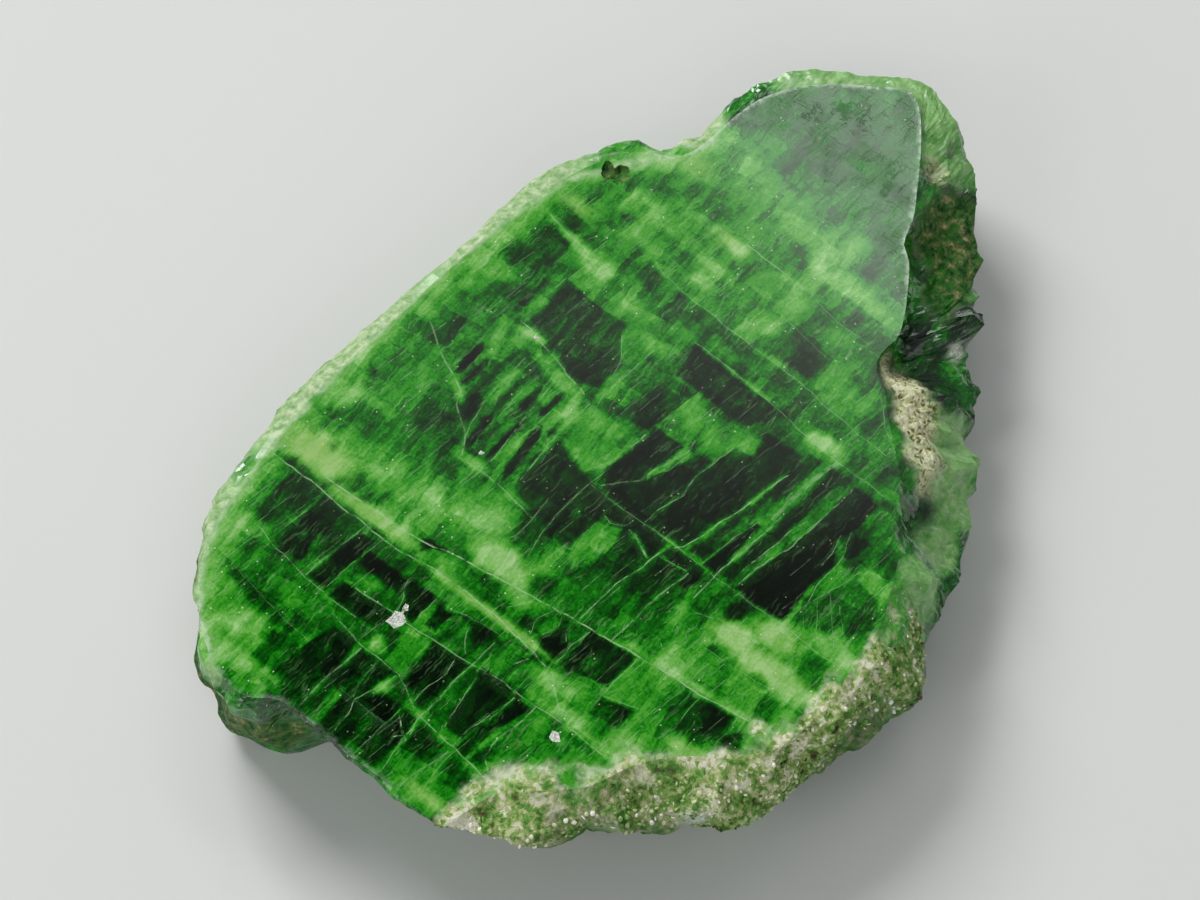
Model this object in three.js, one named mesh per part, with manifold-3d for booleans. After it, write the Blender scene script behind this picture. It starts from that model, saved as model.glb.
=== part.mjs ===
// A slice of a chrome diopside crystal, polished on its upper face and left rough round its sides.
// Millimetres. +Y runs along the crystal towards its narrow tip, +X across it, +Z up from the table.
// The slice is one solid: a flat polished top, a broken wall and a flat underside to rest on.
import * as THREE from 'three';
import { ImprovedNoise } from 'three/addons/math/ImprovedNoise.js';
import { mergeVertices } from 'three/addons/utils/BufferGeometryUtils.js';
import Module from 'manifold-3d';

// Driving dimensions
const THICKNESS = 8;
const STATIONS = 232;
const HUB = new THREE.Vector2(-2, 0);
const FOOT_HEIGHT = 0.5;
const FOOT_CHAMFER = 0.35;
const LEAST_ROW_GAP = 0.05;

// Cleavage of the crystal: two sets of planes that break the wall into flat steps
const STEP_ACROSS = 1.5;
const STEP_ALONG = 1.9;
const STEP_SHARPNESS = 5;
const PLANE_TURN = 0.12;
const PLANE_LEAN = 0.5;

// Grain of the broken stone, as a noise of two scales
const COARSE_GRAIN = 0.42;
const FINE_GRAIN = 1.3;
const FINE_SHARE = 0.45;
const RISE_SHARE = 0.5;

const GREEN = 0x1f7a2c;

// Edge of the polished face, from the tip down the left side and back up the right
const POLISHED_EDGE = [
  // tip and its rounded left corner
  [-5.9, 27.8], [-8.2, 26.5], [-9.6, 25.5], [-11.2, 23.9], [-12.4, 21.8], [-12.8, 19.2],
  // shoulder where the tip meets the wide part
  [-12.9, 17], [-13.5, 15.3], [-15, 14.5], [-16, 13.6], [-16.8, 12],
  // long left side
  [-17.5, 10], [-18.1, 7], [-18.35, 3.5], [-18.6, -4], [-18.6, -11], [-18.2, -14.5],
  // lower left corner
  [-17.4, -19.3], [-16.2, -22.2], [-15, -23.9], [-13.6, -25.2], [-12.2, -26.2], [-10.8, -26.9],
  // chip, then the straight break along the front
  [-8.6, -27.1], [-7, -26.1], [-2, -26.1], [3, -26.1], [4.5, -25.9],
  // where the polish ends at the granular stone
  [5, -24.8], [5.5, -23], [7.5, -21], [9, -19.4], [10, -17], [11.5, -15], [13, -13.7], [15.2, -11.3],
  // right side up to the scooped facets
  [15.6, -8], [15.3, -5], [14.8, -1.8], [13.8, 0.4], [12.8, 2.4], [11.6, 3.5], [11, 4.6],
  // pale crust
  [10, 6.2], [8.5, 7.6], [6.7, 9.2], [5.7, 10.3], [4.3, 11.3], [4, 12.4], [4.1, 13.5],
  // dark hollows beside the tip
  [3.5, 14.9], [2.6, 16.4], [1.3, 18.2], [0.4, 18.9], [-0.3, 20.7], [-1.2, 22.2], [-3.2, 25.2], [-4.7, 27],
];

// Widest line of the wall, with its own height, from the tip round the same way
const WIDEST_LINE = [
  // lower ledge round the tip
  [-4.4, 28.9, 7], [-6.3, 29.2, 7.1], [-8.4, 28, 7.1], [-10.4, 26.7, 7.1], [-12.4, 25.2, 7.1],
  [-13.4, 23.3, 7], [-14, 21, 7], [-13.8, 19, 7], [-14.3, 17, 7], [-15, 15.6, 7.2], [-16.4, 15, 7.2],
  // long left side
  [-17.4, 13.5, 7], [-18.6, 11.8, 6.8], [-19.5, 7.8, 6.4], [-19.6, 0.9, 6.2], [-19.9, -3, 6],
  [-20.2, -11, 6], [-19.9, -14, 6], [-18.6, -19.3, 6], [-17.1, -21.9, 6.3],
  // lower left corner and the block that reaches down to the table
  [-15.6, -23.7, 6.2], [-13.9, -25.4, 5.6], [-12.3, -26.7, 4.6], [-9.7, -27.4, 4.2], [-7.8, -26.9, 4.4],
  // straight break along the front, sharp at the top
  [-6.6, -26.1, 7], [-5.4, -26.1, 7.6], [-2, -26.2, 7.7], [3, -26.2, 7.7],
  // lip of the granular stone
  [5.3, -25.4, 7.4], [7, -24.8, 7.2], [8.7, -23.9, 7], [9.6, -22.4, 6.8], [10.3, -20.9, 6.7],
  [11.4, -19.9, 6.5], [13.1, -18.2, 6], [14.1, -16.5, 5.8], [15.3, -15, 5.5], [15.9, -13, 5],
  // right side
  [16.2, -10.9, 4.7], [16.8, -9, 4.5], [17.3, -6.9, 4.3], [17.4, -4.5, 4], [17.7, -2.5, 4],
  [17, -0.5, 4], [16.1, 2.2, 4], [15, 5, 4], [14.2, 6.7, 4], [13, 9, 4], [11.8, 10.9, 4],
  [10.3, 12.9, 4], [9, 14.5, 4], [7.3, 16.3, 4.2], [6.2, 17.2, 4.4],
  // green bump, then the dark hollows beside the tip
  [5.8, 18.9, 4.8], [4.4, 20.9, 4.8], [3.5, 22.1, 4.8], [2.4, 23.7, 5], [1.6, 24.7, 5.2],
  [0.3, 26.3, 5.6], [-1.1, 27.3, 6], [-2.5, 28.3, 6.5],
];

// Forms of the wall between the polished edge and the widest line: shares of the run and of the drop
const ROUNDED = [[0.35, 0.08], [0.65, 0.25], [0.85, 0.5], [0.97, 0.75]];
const STEPPED_LEDGE = [[0.06, 0.3], [0.16, 0.42], [0.6, 0.5], [0.95, 0.68]];
const FLAT_FACET = [[0.2, 0.16], [0.42, 0.36], [0.64, 0.6], [0.85, 0.82]];
const HOLLOW = [[0.04, 0.34], [0.14, 0.62], [0.46, 0.76], [0.8, 0.86]];
const CRUST = [[0.2, 0.1], [0.45, 0.3], [0.7, 0.58], [0.9, 0.84]];
const SCOOP = [[0.16, 0.22], [0.34, 0.5], [0.6, 0.74], [0.85, 0.9]];
const STEEP = [[0.3, 0.08], [0.6, 0.2], [0.8, 0.46], [0.94, 0.76]];
const GRAIN_LEDGE = [[0.3, 0.12], [0.62, 0.26], [0.86, 0.4], [0.96, 0.7]];

// Rows below the widest line: 1 is the depth half way down, 2 is the depth of the foot;
// the second number is the share of the widest line's height that is left
const UNDERSIDE_ROWS = [[0.3, 0.88], [0.65, 0.75], [0.95, 0.6], [1.2, 0.45], [1.5, 0.31], [1.8, 0.2]];

// Stretches of the wall. Each holds at its own place and blends to the next one:
// form above the widest line, how far the wall goes in below it (half way down and at the foot),
// how rough it is and how much the cleavage steps it, all in millimetres or as a share
const STRETCHES = [
  { at: [-7, 28], form: STEPPED_LEDGE, under: 0.5, foot: 1.6, rough: 0.16, steps: 0.2 },
  { at: [-12.8, 22], form: STEPPED_LEDGE, under: 0.5, foot: 1.5, rough: 0.16, steps: 0.2 },
  { at: [-13.8, 17], form: ROUNDED, under: 0.6, foot: 1.5, rough: 0.22, steps: 0.4 },
  { at: [-18.5, 9], form: ROUNDED, under: 0.4, foot: 1.5, rough: 0.12, steps: 0.15 },
  { at: [-19.5, -12], form: ROUNDED, under: 0.4, foot: 1.6, rough: 0.14, steps: 0.15 },
  { at: [-16, -24], form: ROUNDED, under: 0.5, foot: 1.4, rough: 0.2, steps: 0.15 },
  { at: [-11, -27], form: STEEP, under: 0.4, foot: 1, rough: 0.35, steps: 0.3 },
  { at: [-8, -27], form: STEEP, under: 0.5, foot: 1.4, rough: 0.4, steps: 0.6 },
  { at: [-5, -26.2], form: FLAT_FACET, under: 3, foot: 4.6, rough: 0.12, steps: 0.15 },
  { at: [3, -26.2], form: FLAT_FACET, under: 3.4, foot: 5.2, rough: 0.12, steps: 0.15 },
  { at: [8, -24], form: GRAIN_LEDGE, under: 2.4, foot: 4.2, rough: 0.38, steps: 0.2 },
  { at: [14, -17], form: GRAIN_LEDGE, under: 1.5, foot: 3.2, rough: 0.42, steps: 0.2 },
  { at: [16.4, -9], form: STEEP, under: 1, foot: 2.4, rough: 0.42, steps: 0.4 },
  { at: [17, -3], form: STEEP, under: 0.9, foot: 2.2, rough: 0.4, steps: 0.45 },
  { at: [15, 2.5], form: FLAT_FACET, under: 0.9, foot: 2, rough: 0.3, steps: 0.5 },
  { at: [13, 6], form: SCOOP, under: 0.8, foot: 2, rough: 0.25, steps: 0.5 },
  { at: [10, 10], form: CRUST, under: 0.8, foot: 2, rough: 0.42, steps: 0.6 },
  { at: [7.5, 13.5], form: CRUST, under: 0.8, foot: 1.8, rough: 0.42, steps: 0.6 },
  { at: [6, 15.5], form: HOLLOW, under: 0.7, foot: 1.8, rough: 0.45, steps: 0.8 },
  { at: [3, 21], form: HOLLOW, under: 0.7, foot: 1.8, rough: 0.4, steps: 0.8 },
  { at: [0.8, 24], form: HOLLOW, under: 0.7, foot: 1.6, rough: 0.3, steps: 0.6 },
  { at: [-0.6, 26], form: FLAT_FACET, under: 0.6, foot: 1.6, rough: 0.16, steps: 0.3 },
  { at: [-3.6, 28], form: STEPPED_LEDGE, under: 0.5, foot: 1.6, rough: 0.14, steps: 0.2 },
];

// Lumps and hollows of the wall: centre, reach, and how far the stone stands out and up there
const LUMPS = [
  { name: 'green bump', at: [5.3, 18.4, 5], reach: 1.9, out: 0.5, up: 0.35 },
  { name: 'rod of tan stone', at: [5.2, 15.9, 6.2], reach: 1, out: 0.2, up: 0.6 },
  { name: 'pit of the tip', at: [-1.9, 24.4, 7.1], reach: 1, out: -0.35, up: -0.45 },
  { name: 'rounded facet', at: [14.5, 2.7, 6.3], reach: 2, out: 0.75, up: 0.5 },
  { name: 'lens pit', at: [12, 5.4, 6.6], reach: 1.3, out: -0.4, up: -0.5 },
  { name: 'knuckle of the right side', at: [17, -2.4, 5], reach: 1.7, out: 0.35, up: 0.3 },
  { name: 'hollow under the knuckle', at: [16.4, -7.4, 6], reach: 1.8, out: -0.35, up: -0.2 },
  { name: 'front corner of the granular stone', at: [8.2, -24, 6.9], reach: 1.6, out: 0.2, up: 0.3 },
  { name: 'bite in the granular stone', at: [10.6, -20.8, 6.9], reach: 1.1, out: -0.4, up: -0.25 },
  { name: 'black chip', at: [-6.6, -26.6, 6.8], reach: 1.3, out: -0.45, up: 0 },
];

// Small broken pit in the polished face, near the shoulder
const FACE_PIT = { at: [-15.6, 12, THICKNESS + 0.15], radii: [0.95, 0.8, 0.75], turn: 0.6 };

const noise = new ImprovedNoise();

function angleOf(x, y) {
  return Math.atan2(y - HUB.y, x - HUB.x);
}

function closedCurve(points) {
  const corners = points.map(([x, y, z = THICKNESS]) => new THREE.Vector3(x, y, z));
  return new THREE.CatmullRomCurve3(corners, true, 'centripetal');
}

// Distance from the hub and height of a closed line, as functions of the angle round the hub
function seenFromHub(points) {
  const samplesPerPoint = 14;
  const samples = closedCurve(points).getPoints(points.length * samplesPerPoint).slice(1)
    .map((p) => ({ angle: angleOf(p.x, p.y), radius: Math.hypot(p.x - HUB.x, p.y - HUB.y), z: p.z }))
    .sort((a, b) => a.angle - b.angle);
  return (angle) => blendRound(samples, angle, (a, b, share) => ({
    radius: THREE.MathUtils.lerp(a.radius, b.radius, share),
    z: THREE.MathUtils.lerp(a.z, b.z, share),
  }));
}

// Finds the two entries on either side of an angle, with wrap-around, and blends them
function blendRound(entries, angle, blend) {
  const after = entries.findIndex((entry) => entry.angle > angle);
  const next = after === -1 ? 0 : after;
  const previous = (next + entries.length - 1) % entries.length;
  const turn = (from, to) => THREE.MathUtils.euclideanModulo(to - from, 2 * Math.PI);
  const span = turn(entries[previous].angle, entries[next].angle) || 1;
  return blend(entries[previous], entries[next], turn(entries[previous].angle, angle) / span);
}

function stretchAt(angle) {
  const mix = THREE.MathUtils.lerp;
  return blendRound(stretchesByAngle, angle, (a, b, share) => ({
    form: a.form.map(([run, drop], i) => [mix(run, b.form[i][0], share), mix(drop, b.form[i][1], share)]),
    under: mix(a.under, b.under, share),
    foot: mix(a.foot, b.foot, share),
    rough: mix(a.rough, b.rough, share),
    steps: mix(a.steps, b.steps, share),
  }));
}

const stretchesByAngle = STRETCHES
  .map((stretch) => ({ ...stretch, angle: angleOf(...stretch.at) }))
  .sort((a, b) => a.angle - b.angle);
const widestAt = seenFromHub(WIDEST_LINE);

// One section of the wall, from the polished edge down to the table, as distance and height
function wallSection(edgeRadius, angle) {
  const widest = widestAt(angle);
  const { form, under, foot } = stretchAt(angle);
  const run = widest.radius - edgeRadius;
  const drop = THICKNESS - widest.z;
  return [
    ...form.map(([out, down]) => [edgeRadius + run * out, THICKNESS - drop * down]),
    [widest.radius, widest.z],
    ...UNDERSIDE_ROWS.map(([inwards, height]) => {
      const towardsFoot = THREE.MathUtils.lerp(under, foot, THREE.MathUtils.clamp(inwards - 1, 0, 1));
      return [widest.radius - (inwards < 1 ? under * inwards : towardsFoot), widest.z * height];
    }),
    [widest.radius - foot, FOOT_HEIGHT],
  ];
}

// Rounds a coordinate towards the cleavage planes, which leaves flat steps between them
function stepped(value, pitch) {
  const cell = Math.floor(value / pitch);
  const within = value / pitch - cell;
  const rise = Math.tanh((within - 0.5) * STEP_SHARPNESS) / Math.tanh(0.5 * STEP_SHARPNESS);
  return (cell + 0.5 + 0.5 * rise) * pitch;
}

function grain(x, y, z) {
  const coarse = noise.noise(x * COARSE_GRAIN, y * COARSE_GRAIN, z * COARSE_GRAIN + 7.3);
  const fine = noise.noise(x * FINE_GRAIN + 3.1, y * FINE_GRAIN, z * FINE_GRAIN);
  return 2 * (coarse + FINE_SHARE * fine);
}

// Breaks one point of the wall: cleavage steps, grain, then the named lumps and hollows
function broken([radius, z], angle, { rough, steps }) {
  const [c, s] = [Math.cos(angle), Math.sin(angle)];
  const [x, y] = [HUB.x + radius * c, HUB.y + radius * s];
  const facesAcross = Math.abs(c) > Math.abs(s);
  const [leanAcross, leanAlong] = [PLANE_TURN * y + PLANE_LEAN * z, PLANE_LEAN * z - PLANE_TURN * x];
  const onPlane = facesAcross
    ? (stepped(x + leanAcross, STEP_ACROSS) - leanAcross - HUB.x) / c
    : (stepped(y + leanAlong, STEP_ALONG) - leanAlong - HUB.y) / s;
  let out = (onPlane - radius) * steps + rough * grain(x, y, z);
  let up = rough * RISE_SHARE * (z / THICKNESS) * grain(y, z, x);
  for (const lump of LUMPS) {
    const away = Math.hypot(x - lump.at[0], y - lump.at[1], z - lump.at[2]) / lump.reach;
    const share = THREE.MathUtils.smoothstep(1 - away, 0, 0.8);
    out += lump.out * share;
    up += lump.up * share;
  }
  return [radius + out, z + up];
}

// Heights that always go down from row to row, so that the wall never folds over itself
function keepFalling(section) {
  let ceiling = THICKNESS;
  return section.map(([radius, z], row) => {
    const floor = LEAST_ROW_GAP * (section.length - row);
    ceiling = THREE.MathUtils.clamp(z, floor, ceiling - LEAST_ROW_GAP);
    return [radius, ceiling];
  });
}

function crystalGeometry() {
  const edge = closedCurve(POLISHED_EDGE).getSpacedPoints(STATIONS).slice(1);
  const vertices = [];
  const triangles = [];
  const columns = edge.map((point) => {
    const angle = angleOf(point.x, point.y);
    const edgeRadius = Math.hypot(point.x - HUB.x, point.y - HUB.y);
    const stretch = stretchAt(angle);
    const wall = keepFalling(wallSection(edgeRadius, angle).map((p) => broken(p, angle, stretch)));
    const [footRadius] = wall[wall.length - 1];
    return [[edgeRadius, THICKNESS], ...wall, [footRadius - FOOT_CHAMFER, 0]]
      .map(([radius, z]) => [HUB.x + radius * Math.cos(angle), HUB.y + radius * Math.sin(angle), z]);
  });
  const rows = columns[0].length;
  columns.forEach((column) => column.forEach((point) => vertices.push(...point)));
  const at = (column, row) => (column % columns.length) * rows + row;
  for (let column = 0; column < columns.length; column++) {
    for (let row = 0; row < rows - 1; row++) {
      const [a, b] = [at(column, row), at(column + 1, row)];
      const [c, d] = [at(column + 1, row + 1), at(column, row + 1)];
      const leansRight = noise.noise(column * 0.37, row * 0.81, 0.5) > 0;
      triangles.push(...(leansRight ? [a, d, c, a, c, b] : [a, d, b, b, d, c]));
    }
  }
  const centres = [[THICKNESS, 0], [0, rows - 1]].map(([z, row]) => {
    vertices.push(HUB.x, HUB.y, z);
    return { centre: vertices.length / 3 - 1, row };
  });
  for (let column = 0; column < columns.length; column++) {
    const [top, base] = centres;
    triangles.push(top.centre, at(column, top.row), at(column + 1, top.row));
    triangles.push(base.centre, at(column + 1, base.row), at(column, base.row));
  }
  const geometry = new THREE.BufferGeometry();
  geometry.setAttribute('position', new THREE.Float32BufferAttribute(vertices, 3));
  geometry.setIndex(triangles);
  return geometry;
}

function pitGeometry() {
  const geometry = new THREE.IcosahedronGeometry(1, 2);
  geometry.scale(...FACE_PIT.radii);
  geometry.rotateZ(FACE_PIT.turn);
  geometry.translate(...FACE_PIT.at);
  return geometry;
}

const wasm = await Module();
wasm.setup();

function toSolid(geometry) {
  geometry.deleteAttribute('normal');
  geometry.deleteAttribute('uv');
  const merged = mergeVertices(geometry, 1e-4);
  return new wasm.Manifold(new wasm.Mesh({
    numProp: 3,
    vertProperties: new Float32Array(merged.attributes.position.array),
    triVerts: new Uint32Array(merged.index.array),
  }));
}

function fromSolid(solid) {
  const mesh = solid.getMesh();
  const geometry = new THREE.BufferGeometry();
  geometry.setAttribute('position', new THREE.BufferAttribute(mesh.vertProperties, 3));
  geometry.setIndex(new THREE.BufferAttribute(mesh.triVerts, 1));
  return geometry;
}

const slice = fromSolid(toSolid(crystalGeometry()).subtract(toSolid(pitGeometry())));

// The origin is under the middle of the slice's box, on the table
slice.computeBoundingBox();
const middle = slice.boundingBox.getCenter(new THREE.Vector3());
slice.translate(-middle.x, -middle.y, -slice.boundingBox.min.z);
slice.computeVertexNormals();

const crystal = new THREE.Mesh(slice, new THREE.MeshStandardMaterial({
  color: GREEN,
  roughness: 0.25,
  metalness: 0,
  flatShading: true,
}));
crystal.name = 'crystal';

const group = new THREE.Group();
group.add(crystal);

export default group;
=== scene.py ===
"""Looks of a polished slice of chrome diopside: clear green crystal, cleavage cracks, crust and grains."""
import logging
import math
from dataclasses import dataclass, field
from enum import Enum

import bmesh
import bpy
import numpy as np
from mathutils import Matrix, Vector
from mathutils.geometry import delaunay_2d_cdt


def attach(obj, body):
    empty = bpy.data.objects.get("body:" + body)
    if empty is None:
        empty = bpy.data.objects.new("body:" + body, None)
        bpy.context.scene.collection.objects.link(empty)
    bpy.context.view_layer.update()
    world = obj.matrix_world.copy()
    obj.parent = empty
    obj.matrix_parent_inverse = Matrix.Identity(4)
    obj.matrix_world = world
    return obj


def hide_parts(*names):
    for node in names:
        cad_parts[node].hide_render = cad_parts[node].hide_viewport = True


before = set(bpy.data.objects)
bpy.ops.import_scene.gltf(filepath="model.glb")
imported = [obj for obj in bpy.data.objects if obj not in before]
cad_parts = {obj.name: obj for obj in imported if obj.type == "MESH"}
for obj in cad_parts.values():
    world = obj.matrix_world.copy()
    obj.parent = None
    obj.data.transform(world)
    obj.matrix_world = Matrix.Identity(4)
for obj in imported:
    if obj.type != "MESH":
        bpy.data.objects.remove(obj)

LOG = logging.getLogger("diopside")
MM = 0.001

# Plan places in this file are millimetres as read along the slice: x across it, y towards its tip.
# The part's origin is this point of that plan.
PLAN_ORIGIN = np.array([-1.0768, 0.736])
FACE_HEIGHT = 8.0

Point = tuple[float, float]
Place = tuple[float, float, float]
Colour = tuple[float, float, float]
Outline = tuple[Point, ...]
Stops = tuple[tuple[float, Colour], ...]

# Values that each corner of a triangle carries to the finish; edge is the share of a painted highlight along
# the polished edge
CORNER_VALUES = (
    "tone", "crack", "yellow", "crust", "olive", "white", "grain", "rim", "scuff", "calm", "edge",
)


class Stone(Enum):
    """What a patch of the broken wall is made of."""

    RIM = "rim"
    MINT = "mint"
    GLASS = "glass"
    OLIVE = "olive"
    CRUST = "crust"
    GRAIN = "grain"
    WHITE = "white"


@dataclass(frozen=True)
class Crack:
    """A cleavage crack that meets the polished face: line, width, paleness and depth below the face."""

    line: Outline
    width: float
    pale: float = 1.0
    depth: float = 0.0


@dataclass(frozen=True)
class Block:
    """A block between cleavage planes: outline, tone, softness of its edge and tone at its foot.

    A tone says how deep the eye sees in: 0 is milky at the surface, 0.5 emerald and 1 black green.
    """

    outline: Outline
    tone: float
    soft: float = 0.05
    foot: float | None = None


@dataclass(frozen=True)
class Cloud:
    """A milky cloud just under the face: centre, half sizes, strength, turn and how yellow it is."""

    centre: Point
    reach: Point
    strength: float
    turn: float = 0.0
    yellow: float = 0.0


@dataclass(frozen=True)
class WallPatch:
    """A patch of the broken wall: centre, reach, stone and strength."""

    centre: Place
    reach: float
    stone: Stone
    strength: float = 1.0


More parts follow.
